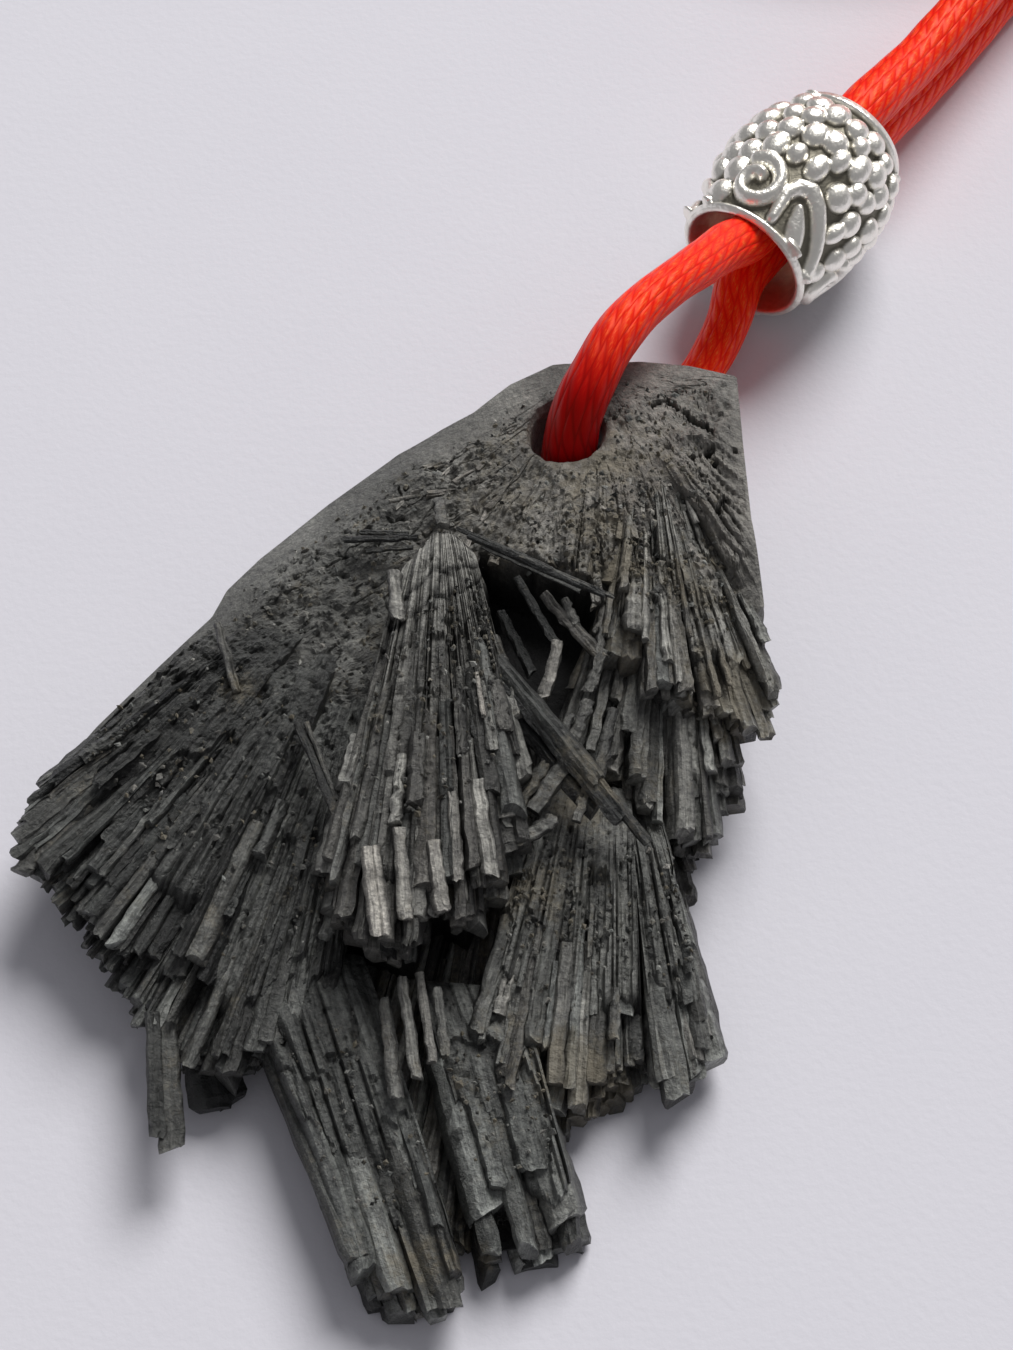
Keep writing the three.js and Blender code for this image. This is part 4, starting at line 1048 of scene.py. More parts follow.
def compact_body():
    """The compact top of the stone, as one closed sheet round its drilled hole.

    Each column runs from the hole's mouth out to the outline, down the ground edge, back along the
    underside and up the hole, which is worn wider below where the cord leaves it.
    """
    outline = np.array(SHIELD_PLAN + SHIELD_PLAN[:1], float)
    rim = along_line(outline, np.arange(BODY_COLUMNS) / BODY_COLUMNS)
    ray = rim - HOLE_CENTRE
    bearing = np.arctan2(ray[:, 1], ray[:, 0])
    around = np.stack([np.cos(bearing), np.sin(bearing)], axis=1)
    mouth = HOLE_CENTRE + around * (HOLE_RADIUS + 0.12)
    out = (np.linspace(0, 1, TOP_ROWS) ** 0.94)[:, None, None]
    plan = mouth[None] + (rim - mouth)[None] * out
    top, rough, sunk, groove_and_shade, pale = compact_top(plan[..., 0], plan[..., 1])
    to_hole = away_from(HOLE_CENTRE, plan[..., 0], plan[..., 1]) - HOLE_RADIUS
    top = top - 0.22 * np.clip(1 - to_hole / 0.35, 0, 1) ** 2
    edge = edge_rows(rim, top[-1], EDGE_ROWS)

    worn = -0.3 + 1.65 * np.clip(around @ AHEAD[:2], 0, 1) ** 2
    low_mouth = HOLE_CENTRE + around * (HOLE_RADIUS + worn)[:, None]
    back = np.linspace(1, 0, UNDER_ROWS)[:, None, None] ** 0.95
    under_plan = low_mouth[None] + (rim - low_mouth)[None] * back
    ux, uy = under_plan[..., 0], under_plan[..., 1]
    fibres = fractal_noise(from_apex(ux, uy)[0] * 26, np.hypot(ux, uy) * 0.8, 41, 4)
    under = underside(ux, uy) + 0.35 + 0.16 * fibres
    under = under + 0.2 * np.abs(fractal_noise(ux * 0.7, uy * 0.7, 44, 3))

    rise = np.linspace(0, 1, BORE_ROWS + 2)[1:-1, None]
    bore = HOLE_RADIUS - 0.12 * np.sin(rise * math.pi) + worn * np.clip(1 - rise * 2.2, 0, 1) ** 1.5
    hole = at_height(HOLE_CENTRE + around[None] * bore[..., None], under[-1] * (1 - rise) + top[0] * rise)

    rows = np.concatenate([at_height(plan, top), edge, at_height(under_plan, under), hole])
    points = rows.reshape(-1, 3)
    faces = grid_faces(len(rows), BODY_COLUMNS, wrap_rows=True, wrap_columns=True)

    def on_top(values, on_edge=0.0):
        """Values by row of the top and the same one all over the edge, with 0 elsewhere."""
        whole = np.zeros((len(rows), BODY_COLUMNS))
        whole[:TOP_ROWS] = values
        whole[TOP_ROWS:TOP_ROWS + EDGE_ROWS] = on_edge
        return whole.ravel()

    px, py = points[:, 0], points[:, 1]
    angle, radius = from_apex(px, py)
    smooth_band, hollow = on_top(1 - rough, 1.0), on_top(sunk)
    brown = np.clip(1 - np.hypot(px - 7.5, py - 14.0) / 9.0, 0, 1)
    patches = fractal_noise(px * 0.45, py * 0.45, 61, 3) * 0.1
    patches = patches + 0.07 * smoothstep(px, 9.0, 13.0) * smoothstep(py, 8.0, 14.0)
    tone = 0.49 + 0.21 * brown + patches + on_top(pale * 0.14) + 0.04 * smooth_band
    # The hollow is painted near black and free of dust, as the shade that lies in it: painted shade.
    attributes = {
        "grain": np.stack([angle * 12, radius * 0.8, points[:, 2]], axis=1),
        "tone": np.clip(tone * (1 - hollow), 0, 1),
        "warmth": np.clip(0.32 + 0.5 * brown + 0.3 * (px > 9), 0, 1),
        "dust": np.clip(0.25 + 0.45 * brown - 0.5 * smooth_band - hollow, 0, 1),
        "groove_and_shade": np.clip(on_top(groove_and_shade) + hollow, 0, 1),
    }
    return keep_inside(points), [faces], attributes


# ---- the stone: sprays of laths ----------------------------------------------------------------
# The free laths' widths as shares of their spray's usual one, and the chance of each.
LATH_WIDTHS, WIDTH_CHANCES = [0.45, 0.75, 1.1, 1.5], [0.22, 0.32, 0.33, 0.13]


@dataclass
class Spray:
    """A spray of laths: the roots that they spread from, the tips that they reach, and how they lie.

    width is a lath's usual width at the tips. The free laths lie in layers, each a step lower.
    whole is the share of top laths that run out to the tips, broken the span of the way out where
    the others end, starts the span where top laths begin, and sunk the share that lie low. Free
    laths cover the spray's body beyond fused. arch is the rise of its middle over a straight line
    from root to tip, and its root is sunk by dip, which ends at the share bury of the way out.
    granular is how lumpy the body is near the root, cap how much paler it is there, and cracks are
    the shares of the way out where cracks run across it.
    """

    roots: list
    tips: list
    width: float
    step: float
    starts: tuple
    broken: tuple
    arch: float
    dip: float
    bury: float
    warmth: float
    tone: float
    layers: int = 4
    whole: float = 0.5
    sunk: float = 0.3
    fused: float = 0.5
    dust: float = 0.2
    granular: float = 0.5
    cracks: tuple = ()
    cap: float = 0.0

    def __post_init__(self):
        self.tip_line = line_length(self.tips)

    def ends(self, u):
        """The roots and tips at shares u of the way across the spray."""
        return along_links(self.roots, u), along_line(self.tips, u)

    def rise(self, u, s):
        """How far the top rises over its straight lines: most in the middle, least at the root."""
        middle = 0.5 + 0.5 * (1 - (2 * u - 1) ** 2)
        buried = np.clip(1 - s / self.bury, 0, 1)
        return self.arch * np.sin(math.pi * np.clip(s, 0, 1) ** 0.75) * middle - self.dip * buried**1.5

    def width_share(self, s):
        """How wide the spray is at share s of the way out, as a share of its width at the tips."""
        at_root = min(line_length(self.roots) / self.tip_line, 1.0)
        return at_root + (1 - at_root) * s


SPRAYS = {
    "wing_low": Spray(
        roots=[(-3.6, 6.4, 5.6), (-1.0, 5.8, 6.0)],
        tips=[
            (-13.6, -5.6, 4.0), (-12.0, -7.0, 3.7), (-10.4, -9.6, 3.4), (-8.6, -11.2, 3.3),
            (-6.6, -11.3, 3.6), (-4.8, -10.6, 4.0), (-2.4, -8.6, 4.5),
        ],
        width=0.62, step=0.36, starts=(0.3, 0.74), whole=0.4, broken=(0.5, 0.92), sunk=0.26, arch=0.3,
        dip=0.6, bury=0.16, granular=1.0, warmth=0.12, tone=0.43, dust=0.15,
    ),
    "wing_middle": Spray(
        roots=[(-4.8, 7.4, 6.1), (-2.4, 6.8, 6.5)],
        tips=[
            (-15.5, -2.6, 4.5), (-14.4, -4.2, 4.3), (-12.9, -5.4, 4.3), (-11.4, -6.4, 4.4),
            (-9.2, -7.4, 4.5), (-7.4, -8.0, 4.6),
        ],
        width=0.58, layers=3, step=0.34, starts=(0.25, 0.74), whole=0.4, broken=(0.42, 0.9), arch=0.5,
        dip=0.6, bury=0.16, granular=1.0, warmth=0.12, tone=0.35, dust=0.08,
    ),
    "wing_top": Spray(
        roots=[(-5.8, 8.4, 6.1), (-4.0, 7.8, 6.5)],
        tips=[
            (-15.5, 0.8, 5.0), (-16.2, -0.8, 4.7), (-15.6, -2.0, 4.7), (-13.6, -3.2, 4.9),
            (-11.4, -4.0, 5.2),
        ],
        width=0.54, layers=3, step=0.32, starts=(0.25, 0.74), broken=(0.4, 0.9), arch=0.55, dip=0.5,
        bury=0.16, granular=1.0, warmth=0.12, tone=0.32, dust=0.05,
    ),
    "cut_edge": Spray(
        roots=[(-5.4, 8.8, 6.0), (-8.0, 8.9, 5.5)],
        tips=[(-14.6, 0.2, 5.1), (-15.6, 1.3, 4.6)],
        width=0.5, layers=3, step=0.3, starts=(0.2, 0.7), broken=(0.45, 0.9), sunk=0.1, fused=0.6,
        arch=0.25, dip=0.5, bury=0.2, granular=1.0, warmth=0.2, tone=0.36, dust=0.15,
    ),
    "centre_cone": Spray(
        roots=[(0.0, 10.0, 8.2), (1.3, 11.9, 8.3), (2.0, 12.0, 8.3), (3.1, 10.8, 8.1)],
        tips=[
            (-3.3, -3.4, 6.4), (-2.5, -6.0, 6.8), (-1.6, -7.2, 7.1), (0.6, -7.9, 7.2), (0.9, -6.0, 7.3),
            (1.8, -5.8, 7.3), (2.9, -6.6, 7.2), (3.6, -4.7, 7.2), (4.5, -4.1, 7.0), (5.0, -0.4, 7.0),
            (4.8, 3.6, 7.2),
        ],
        width=0.8, step=0.42, starts=(0.34, 0.66), whole=0.6, broken=(0.55, 0.9), fused=0.4, arch=0.7,
        dip=0.5, bury=0.07, granular=0.0, cracks=(0.15, 0.22), cap=0.42, warmth=0.45, tone=0.55,
        dust=0.05,
    ),
    "right_lower": Spray(
        roots=[(11.6, 18.4, 7.0)],
        tips=[
            (6.3, 3.6, 4.9), (7.2, 2.6, 5.0), (8.0, 1.9, 5.0), (9.1, 1.0, 5.0), (10.0, 0.0, 4.9),
            (10.8, -0.6, 4.8), (12.0, -1.6, 4.6), (12.9, -1.7, 4.5), (13.8, 0.6, 4.5), (14.6, 2.6, 4.6),
        ],
        width=0.74, step=0.42, starts=(0.5, 0.74), broken=(0.76, 0.94), fused=0.8, arch=0.3, dip=0.0,
        bury=0.24, warmth=0.35, tone=0.64, dust=0.3,
    ),
    "right_upper": Spray(
        roots=[(10.7, 19.0, 7.4)],
        tips=[
            (8.2, 7.4, 7.7), (9.4, 5.6, 7.5), (10.5, 4.4, 7.3), (12.5, 3.9, 7.0), (13.6, 3.4, 6.6),
            (14.7, 3.0, 6.2), (15.7, 3.2, 5.7), (15.9, 5.2, 5.7), (15.6, 8.4, 6.1),
        ],
        width=0.66, step=0.36, starts=(0.42, 0.78), broken=(0.66, 0.93), sunk=0.26, fused=0.84,
        arch=0.4, dip=0.3, bury=0.3, warmth=0.4, tone=0.7, dust=0.4,
    ),
    "lower_middle": Spray(
        roots=[(6.0, 2.2, 4.8), (9.8, 1.4, 4.6)],
        tips=[
            (3.0, -9.2, 4.4), (3.6, -11.4, 4.0), (5.4, -12.6, 3.6), (7.4, -12.9, 3.2), (8.7, -11.6, 3.3),
            (10.1, -9.6, 3.5),
        ],
        width=0.6, step=0.36, starts=(0.1, 0.85), whole=0.4, broken=(0.4, 0.95), sunk=0.35, fused=0.85,
        arch=0.3, dip=0.9, bury=0.24, warmth=0.25, tone=0.6, dust=0.25,
    ),
    "lower_strip": Spray(
        roots=[(9.4, 1.4, 4.1), (11.0, 1.0, 4.1)],
        tips=[(10.4, -11.4, 3.1), (11.4, -12.2, 3.0), (12.8, -10.6, 3.3), (12.3, -8.2, 3.7)],
        width=0.95, layers=3, step=0.5, starts=(0.1, 0.34), whole=0.8, broken=(0.5, 0.85), sunk=0.2,
        fused=0.4, arch=0.5, dip=1.1, bury=0.3, granular=0.2, warmth=0.2, tone=0.58,
    ),
    "tail_left": Spray(
        roots=[(-7.2, -6.2, 3.1), (-4.2, -5.4, 3.7), (-1.4, -5.6, 3.2)],
        tips=[
            (-1.1, -18.9, 3.2), (-0.3, -20.4, 2.8), (0.8, -20.9, 2.6), (2.3, -20.8, 2.5),
            (3.0, -19.2, 3.0),
        ],
        width=1.0, step=0.45, starts=(0.02, 0.4), whole=0.7, broken=(0.5, 0.92), arch=0.75, dip=0.7,
        bury=0.2, granular=0.1, warmth=0.06, tone=0.48,
    ),
    "tail_right": Spray(
        roots=[(0.6, -6.6, 3.0), (5.0, -7.2, 3.4)],
        tips=[(3.9, -18.8, 2.6), (5.2, -18.6, 2.5), (6.9, -18.2, 2.6), (7.6, -17.0, 2.9)],
        width=1.0, step=0.45, starts=(0.05, 0.4), whole=0.75, broken=(0.55, 0.92), fused=0.45,
        arch=0.8, dip=0.7, bury=0.24, granular=0.1, warmth=0.08, tone=0.54,
    ),
}


def spray_laths(spray, seed):
    """The free laths of one spray, side by side in layers, each lower and a little longer than the last.

    Laths of random width fill the line of tips. Where the broken ones end follows smooth noise along
    that line, so neighbours break off together, as in a natural cluster.
    """
    rng = np.random.default_rng(seed)
    parts = []
    for layer in range(spray.layers):
        most = int(spray.tip_line / spray.width * 3)
        widths = spray.width * rng.choice(LATH_WIDTHS, most, p=WIDTH_CHANCES)
        edge = np.cumsum(widths)
        widths = widths[edge < spray.tip_line]
        count = len(widths)
        u = (edge[:count] - widths / 2) / spray.tip_line

        def shared(reach, row, number):
            """Noise from -1 to 1 that neighbours within reach millimetres of the line share."""
            return value_noise(u * spray.tip_line / reach, np.full(count, row), seed + number)

        swing = 0.45 * shared(1.2, layer * 7.7, 33) + rng.normal(0, 0.12, count)
        root = along_links(spray.roots, u)
        tip = along_line(spray.tips, np.clip(u + swing / spray.tip_line, 0.01, 0.99))
        depth = layer / max(spray.layers - 1, 1)
        cluster = shared(1.3, layer * 3.7, 0) * 0.5 + 0.5
        cluster = np.clip(0.7 * cluster + 0.4 * rng.uniform(-0.2, 1, count), 0, 1)
        runs_out = rng.uniform(0, 1, count) < spray.whole + (1 - spray.whole) * depth
        first, last = spray.broken
        rim = 0.9 + 0.04 * depth
        s1 = np.where(runs_out, rim + (1 - rim) * cluster, first + (last - first) * cluster)
        s0 = rng.uniform(*(spray.starts if layer == 0 else (0.4, 0.72)), count)
        s0 = np.minimum(s0, s1 - 0.16)
        low = shared(0.8, layer * 2.3, 70) * 0.5 + 0.5 < spray.sunk * 1.6
        low |= rng.uniform(0, 1, count) < spray.sunk * 0.5
        heave = 0.14 * shared(1.0, layer * 4.1, 44)
        lift = rng.uniform(-0.08, 0.1, count) + heave - layer * spray.step
        lift = lift - rng.uniform(0.3, 0.9, count) * low
        spread = tip + rng.normal(0, 0.07, (count, 3)) * [1, 1, 0.6]
        begin = root + (spread - root) * s0[:, None]
        end = root + (spread - root) * s1[:, None]
        begin[:, 2] += spray.rise(u, s0) + lift - rng.uniform(0.12, 0.3, count)
        end[:, 2] += spray.rise(u, s1) + lift
        wide_end = spray.width_share(s1)
        flare = np.clip(spray.width_share(s0) / wide_end, 0.12, 1)
        broad = widths * wide_end * 1.12 + 0.03
        # Lower layers and sunk laths are painted darker, as the shade under the laths above them: painted
        # shade. The shared noise is the laths' own tone.
        shade = spray.tone + 0.12 * shared(0.9, layer * 5.1 + 9, 50) - 0.03 * layer - 0.12 * low
        parts.append(laths(
            begin, end, broad, broad * rng.uniform(0.6, 0.95, count) + 0.2, rng.normal(0, 0.24, count),
            seed * 10 + layer, clipped_normal(rng, shade, 0.12, count),
            clipped_normal(rng, spray.warmth, 0.14, count), clipped_normal(rng, spray.dust, 0.14, count),
            flare,
        ))
    return parts


# How far the body of a spray drops away near the tips, and how far it lies under its rise elsewhere.
CORE_END_DROP, CORE_SUNK = 1.6, 0.03
CORE_ROWS = 104
CORE_COLUMN_WIDTH = 0.125


def spray_core(spray, seed):
    """The closed body of a spray: laths grown together, sunk under the free laths at the tips.

    Each column is a loop out along the top and back below. The top is the spray's rounded rise with
    the relief of grown laths, a little lower beyond fused, where free laths lie on it. Near the tips
    it drops away by CORE_END_DROP, so that only free laths show there.
    """
    columns = max(36, int(spray.tip_line / CORE_COLUMN_WIDTH))
    u = np.linspace(0.01, 0.99, columns)
    s = np.linspace(0.01, 0.92, CORE_ROWS)[:, None]
    root, tip = spray.ends(u)
    top = root[None] + (tip - root)[None] * s[..., None]
    length = np.linalg.norm(tip - root, axis=1)[None]
    spread = np.broadcast_to(u[None] * spray.tip_line, (CORE_ROWS, columns))
    relief, groove_and_shade, pale = lath_relief(spread, s * length, seed, spray.width, length)
    lumps = fractal_noise(top[..., 0] * 2.4, top[..., 1] * 2.4, seed + 12, 4)
    pits = np.clip(-lumps - 0.6, 0, 1)
    near_root = spray.granular * np.clip(1.2 - s / 0.4, 0, 1)
    grit = lumps * (0.05 + 0.15 * near_root) - 0.25 * pits
    # Painted shade in the pits, and below in the cracks, through the groove_and_shade mask.
    groove_and_shade = groove_and_shade * (1 - 0.7 * near_root) + pits * (0.4 + near_root)
    relief = relief * (1 - 0.7 * near_root)

    def uneven(across, number):
        """Noise that changes across the spray alone."""
        return value_noise(across, np.zeros((1, columns)), seed + number)

    for share in spray.cracks:
        beyond = s - share - 0.02 * uneven(u[None] * 9, 15)
        crack = np.clip(1 - np.abs(beyond) / 0.012, 0, 1)
        relief = relief - 0.16 * crack - 0.08 * (beyond > 0)
        groove_and_shade = groove_and_shade + 0.9 * crack
    covered = np.clip((s - spray.fused + 0.1) / 0.2, 0, 1)
    ragged = 0.84 + 0.07 * uneven(u[None] * spray.tip_line / 1.1, 13)
    sink = smoothstep(s - ragged, -0.06, 0.06)
    top[..., 2] += spray.rise(u[None], s) - 0.2 * covered
    top[..., 2] += relief * np.clip(s / 0.3, 0.3, 1) + grit - CORE_END_DROP * sink - CORE_SUNK

    under = underside(top[..., 0], top[..., 1]) + 0.9
    top[..., 2] = np.maximum(top[..., 2], under + 0.15)
    back = slice(None, None, -4)
    bottom = at_height(top[back][..., :2], under[back])
    sides = np.array([0, columns - 1])
    top[:, sides, 2] -= 0.5 * (top[:, sides, 2] - under[:, sides])
    loop = np.concatenate([top, bottom])
    rows, points = len(loop), loop.reshape(-1, 3)
    faces = grid_faces(rows, columns, wrap_rows=True)[:, ::-1]
    caps = [np.arange(rows)[None, ::-1] * columns, np.arange(rows)[None, :] * columns + columns - 1]

    def with_bottom(values, below):
        """Values by point of the top, and the same one all over the bottom."""
        top_values = np.broadcast_to(values, spread.shape)
        return np.concatenate([top_values, np.full(bottom.shape[:2], below)]).ravel()

    across = np.broadcast_to(u[None] * spray.tip_line * 0.7, (rows, columns)).ravel()
    along = np.concatenate([s, s[back]]) * length
    # Where the body drops away near the tips, and all over its bottom, it is painted near black: painted
    # shade under the free laths.
    sunk_in_painted_shade = with_bottom(sink, 1.0)
    patches = value_noise(spread / 1.6, s * length / 3, seed + 14) * 0.06 + pale * 0.16
    patches = patches + spray.cap * np.clip(1 - s / 0.35, 0, 1)
    attributes = {
        "grain": np.stack([across, along.ravel(), np.full(len(points), float(seed))], axis=1),
        "tone": np.clip((spray.tone + with_bottom(patches, 0.0)) * (1 - sunk_in_painted_shade * 0.95), 0, 1),
        "warmth": np.full(len(points), spray.warmth),
        "dust": np.clip(spray.dust - sunk_in_painted_shade, 0, 1) + dust_at(points[:, 0], points[:, 1]) * (1 - sunk_in_painted_shade),
        "groove_and_shade": with_bottom(np.clip(groove_and_shade * 0.9 + sink, 0, 1), 1.0),
    }
    return keep_inside(points), [faces, *caps], attributes


# Single crystals that lie across the sprays: start, end, width, tone.
LOOSE_LATHS = [
    # Across the cone's head and the upper rim of the hollow.
    ((2.3, 11.6, 8.5), (6.4, 9.6, 8.35), 0.28, 0.32), ((2.8, 11.2, 8.5), (8.6, 8.5, 8.1), 0.34, 0.2),
    ((3.4, 10.8, 8.3), (7.6, 8.7, 8.05), 0.24, 0.36), ((5.0, 10.2, 8.45), (9.0, 8.4, 8.0), 0.2, 0.45),
    # A stub above the cone.
    ((1.5, 13.5, 8.0), (1.7, 11.9, 8.45), 0.55, 0.5),
    # To the left of the cone's head.
    ((0.6, 11.4, 8.1), (-2.6, 11.7, 7.4), 0.3, 0.14), ((0.2, 11.7, 7.9), (-1.9, 12.1, 7.4), 0.24, 0.3),
    ((0.4, 11.0, 7.9), (-1.6, 11.2, 7.3), 0.26, 0.34),
    # The beam that leans over the lower rim of the hollow; its last, black lath stands for its shaded side:
    # painted shade.
    ((4.0, 5.5, 7.8), (8.2, 0.2, 6.85), 0.8, 0.36), ((4.2, 4.7, 7.5), (9.2, -1.3, 6.35), 0.75, 0.15),
    ((6.4, 2.6, 7.2), (10.3, -2.2, 6.0), 0.5, 0.26), ((3.9, 4.7, 7.1), (8.2, -0.7, 6.1), 0.8, 0.0),
    # Inside the hollow.
    ((4.9, 9.8, 7.4), (6.5, 7.0, 6.7), 0.4, 0.24), ((4.2, 8.8, 6.2), (5.6, 5.9, 5.9), 0.5, 0.16),
    ((6.0, 9.0, 7.3), (8.5, 6.0, 6.9), 0.55, 0.45), ((6.9, 8.7, 7.4), (7.4, 7.5, 7.2), 0.4, 0.62),
    ((6.7, 6.9, 6.9), (6.0, 4.3, 6.5), 0.6, 0.68), ((8.5, 7.4, 7.2), (8.1, 4.9, 6.6), 0.4, 0.55),
    ((8.6, 6.4, 7.0), (7.9, 4.6, 6.6), 0.5, 0.5),
    # Stubs to the right of the beam.
    ((7.9, 4.2, 6.6), (7.0, 1.9, 6.1), 0.6, 0.48), ((8.9, 3.9, 6.4), (8.2, 0.9, 6.0), 0.5, 0.45),
    ((7.1, 3.6, 6.5), (6.2, 1.2, 6.0), 0.5, 0.45), ((6.4, 3.2, 6.2), (5.6, 0.9, 5.9), 0.4, 0.5),
    # Chunks under the beam.
    ((5.6, -0.9, 6.3), (7.4, 1.9, 6.7), 0.8, 0.48), ((5.0, -0.6, 6.1), (6.5, 1.9, 6.5), 0.5, 0.4),
    ((7.3, -1.3, 6.2), (7.8, 0.3, 6.3), 0.5, 0.52), ((4.6, -2.4, 6.0), (6.4, -1.2, 6.2), 0.6, 0.5),
    # On the wing beside the cone.
    ((-4.3, 2.9, 6.9), (-1.9, -2.8, 6.7), 0.42, 0.2), ((-3.9, 3.0, 6.8), (-2.5, -0.6, 6.7), 0.3, 0.4),
    # Single laths under the wing; the two black ones, low down, stand for the shade there: painted shade.
    ((-9.9, -8.6, 3.5), (-9.4, -13.7, 2.9), 0.8, 0.28), ((-9.4, -8.9, 3.2), (-8.8, -14.1, 2.7), 1.1, 0.4),
    ((-8.4, -8.6, 2.4), (-7.6, -12.0, 1.3), 1.6, 0.0), ((-7.6, -8.6, 2.2), (-6.7, -11.6, 1.1), 1.4, 0.0),
    # The wing's corner.
    ((-12.4, 2.2, 5.0), (-15.6, -0.6, 4.8), 0.7, 0.36),
    ((-12.6, 1.6, 5.1), (-16.0, -1.4, 4.75), 0.75, 0.42),
    ((-12.9, 0.9, 5.0), (-16.0, -2.1, 4.6), 0.7, 0.3), ((-13.2, 0.3, 4.8), (-15.8, -2.7, 4.4), 0.8, 0.38),
    # On the wing's root.
    ((-7.9, 7.8, 6.9), (-6.9, 4.6, 6.7), 0.42, 0.5),
    # Pale laths on the cone: painted highlights, their sheen painted as paleness.
    ((-0.3, 9.2, 8.9), (-0.1, 7.0, 8.7), 0.6, 0.75), ((-1.1, -3.2, 7.75), (-0.6, -6.9, 7.4), 0.95, 0.97),
    ((0.1, -2.4, 7.8), (0.45, -6.2, 7.4), 0.6, 0.8), ((1.5, -3.0, 7.85), (1.9, -5.9, 7.5), 0.7, 0.85),
    ((2.2, -0.8, 7.9), (2.5, -4.6, 7.6), 0.5, 0.7), ((3.2, -0.2, 7.8), (3.8, -4.3, 7.4), 0.7, 0.85),
    ((3.2, 4.6, 8.2), (3.5, 2.6, 8.0), 0.26, 0.9),
    # Between the tails.
    ((0.2, -7.6, 4.7), (0.9, -11.8, 4.6), 0.5, 0.66), ((0.9, -7.4, 4.7), (1.5, -11.2, 4.7), 0.4, 0.6),
    ((1.6, -8.0, 4.6), (2.0, -10.9, 4.6), 0.4, 0.55), ((-0.5, -8.4, 4.5), (0.1, -12.6, 4.5), 0.6, 0.5),
]


def loose_laths():
    """The single crystals in the tones listed, the darkest without dust: the black ones under the wing and
    on the beam's shaded side are painted shade, and the pale ones on the cone painted highlights.
    """
    rng = np.random.default_rng(77)
    begin, end, wide, tone = (np.array(column, float) for column in zip(*LOOSE_LATHS))
    count = len(begin)
    return [laths(
        begin, end, wide, np.minimum(wide * 0.7, 0.55), rng.normal(0, 0.12, count), 770,
        tone, clipped_normal(rng, tone - 0.15, 0.1, count),
        rng.uniform(0.0, 0.4, count) * (tone > 0.1), np.full(count, 0.85),
    )]


def surface_fibres(count, seed):
    """Short broken fibres in the compact top, all spreading from the drilled end."""
    rng = np.random.default_rng(seed)
    x, y = rng.uniform(0.5, 13.5, count * 3), rng.uniform(4.5, 16.5, count * 3)
    keep = (depth_inside(x, y, SHIELD_PLAN) > 0.4) & (away_from(HOLE_CENTRE, x, y) > 2.3)
    keep &= depth_inside(x, y, HOLLOW_RIM) < -0.2
    keep &= rng.uniform(0, 1, len(x)) < np.clip((to_line(x, y, CUT_EDGE)[0] - 1.0) / 1.2, 0, 1)
    x, y = x[keep][:count], y[keep][:count]
    kept = len(x)
    top = compact_top(x, y)[0]
    away = from_apex(x, y)[0] + rng.normal(0, 0.3, kept)
    length = rng.uniform(0.4, 1.5, kept)
    rise = rng.uniform(-0.12, 0.04, kept) - length * 0.03
    begin = np.stack([x, y, top - 0.12], axis=1)
    end = np.stack([x + np.cos(away) * length, y + np.sin(away) * length, top + rise], axis=1)
    wide = rng.uniform(0.2, 0.5, kept)
    warm = np.clip(1.15 - np.hypot(x - 5.5, y - 14) / 10, 0.1, 0.9)
    return [laths(
        begin, end, wide, wide * rng.uniform(0.8, 1.4, kept), rng.normal(0, 0.5, kept), seed + 1,
        clipped_normal(rng, 0.52, 0.14, kept), warm, clipped_normal(rng, 0.35, 0.2, kept),
        np.full(kept, 0.8), stations=FIBRE_STATIONS,
    )]


# The underside's laths spread from a root to a line of tips in plan, in layers: how many laths each
# has, and the span of the way out where they start.
UNDERSIDE_ROOT = np.array([6.5, 18.5])
UNDERSIDE_TIPS = [
    (-14, -0.4), (-13.2, -3.2), (-11.6, -5.6), (-9.8, -8), (-7.6, -9.8), (-5, -9.8), (-3.8, -12.6),
    (-2.4, -15.2), (-0.6, -18), (1.2, -18.8), (3.4, -17), (5.6, -16), (6.8, -12.2), (8.4, -11.8),
    (10.4, -10.4), (12.2, -9.6), (11.8, -4.6), (12.4, -0.6), (13.8, 1.2), (14.4, 5.0),
]
UNDERSIDE_LAYERS = [(40, 0.05, 0.45), (70, 0.4, 0.72), (90, 0.62, 0.86)]


def underside_laths():
    """The laths of the stone's underside, which spread from its drilled end with their lower faces down."""
    rng = np.random.default_rng(61)
    parts = []
    for layer, (count, low, high) in enumerate(UNDERSIDE_LAYERS):
        u = (np.arange(count) + rng.uniform(0.1, 0.9, count)) / count
        way = along_links(UNDERSIDE_TIPS, u) - UNDERSIDE_ROOT
        s0 = rng.uniform(low, high, count)[:, None]
        s1 = np.minimum(s0 + rng.uniform(0.18, 0.5, (count, 1)), 1.0)
        begin, end = UNDERSIDE_ROOT + way * s0, UNDERSIDE_ROOT + way * s1
        clear = away_from(HOLE_CENTRE, begin[:, 0], begin[:, 1]) >= 3.6
        begin, end = begin[clear], end[clear]
        total = len(begin)
        wide = rng.uniform(0.45, 1.0, total) * (0.6 + 0.25 * layer)
        thick = rng.uniform(0.7, 1.1, total)
        dip = rng.uniform(-0.12, 0.25, total)
        lower = np.stack([underside(p[:, 0], p[:, 1]) + dip for p in (begin, end)], axis=1)
        lower = np.maximum(lower, rng.uniform(-0.05, 0.3, (total, 1)))
        parts.append(laths(
            at_height(begin, lower[:, 0] + thick + 0.1), at_height(end, lower[:, 1] + thick), wide, thick,
            rng.normal(0, 0.2, total), 610 + layer, clipped_normal(rng, 0.45, 0.15, total),
            rng.uniform(0.0, 0.6, total), rng.uniform(0.1, 0.6, total), np.full(total, 0.75),
        ))
    return parts


# ---- the stone: crumbs -------------------------------------------------------------------------
# A crumb's corners and faces: an octahedron.
CRUMB = np.array([(1, 0, 0), (-1, 0, 0), (0, 1, 0), (0, -1, 0), (0, 0, 1), (0, 0, -1)], float)
CRUMB_FACES = np.array([
    (0, 2, 4), (2, 1, 4), (1, 3, 4), (3, 0, 4), (2, 0, 5), (1, 2, 5), (3, 1, 5), (0, 3, 5),
])


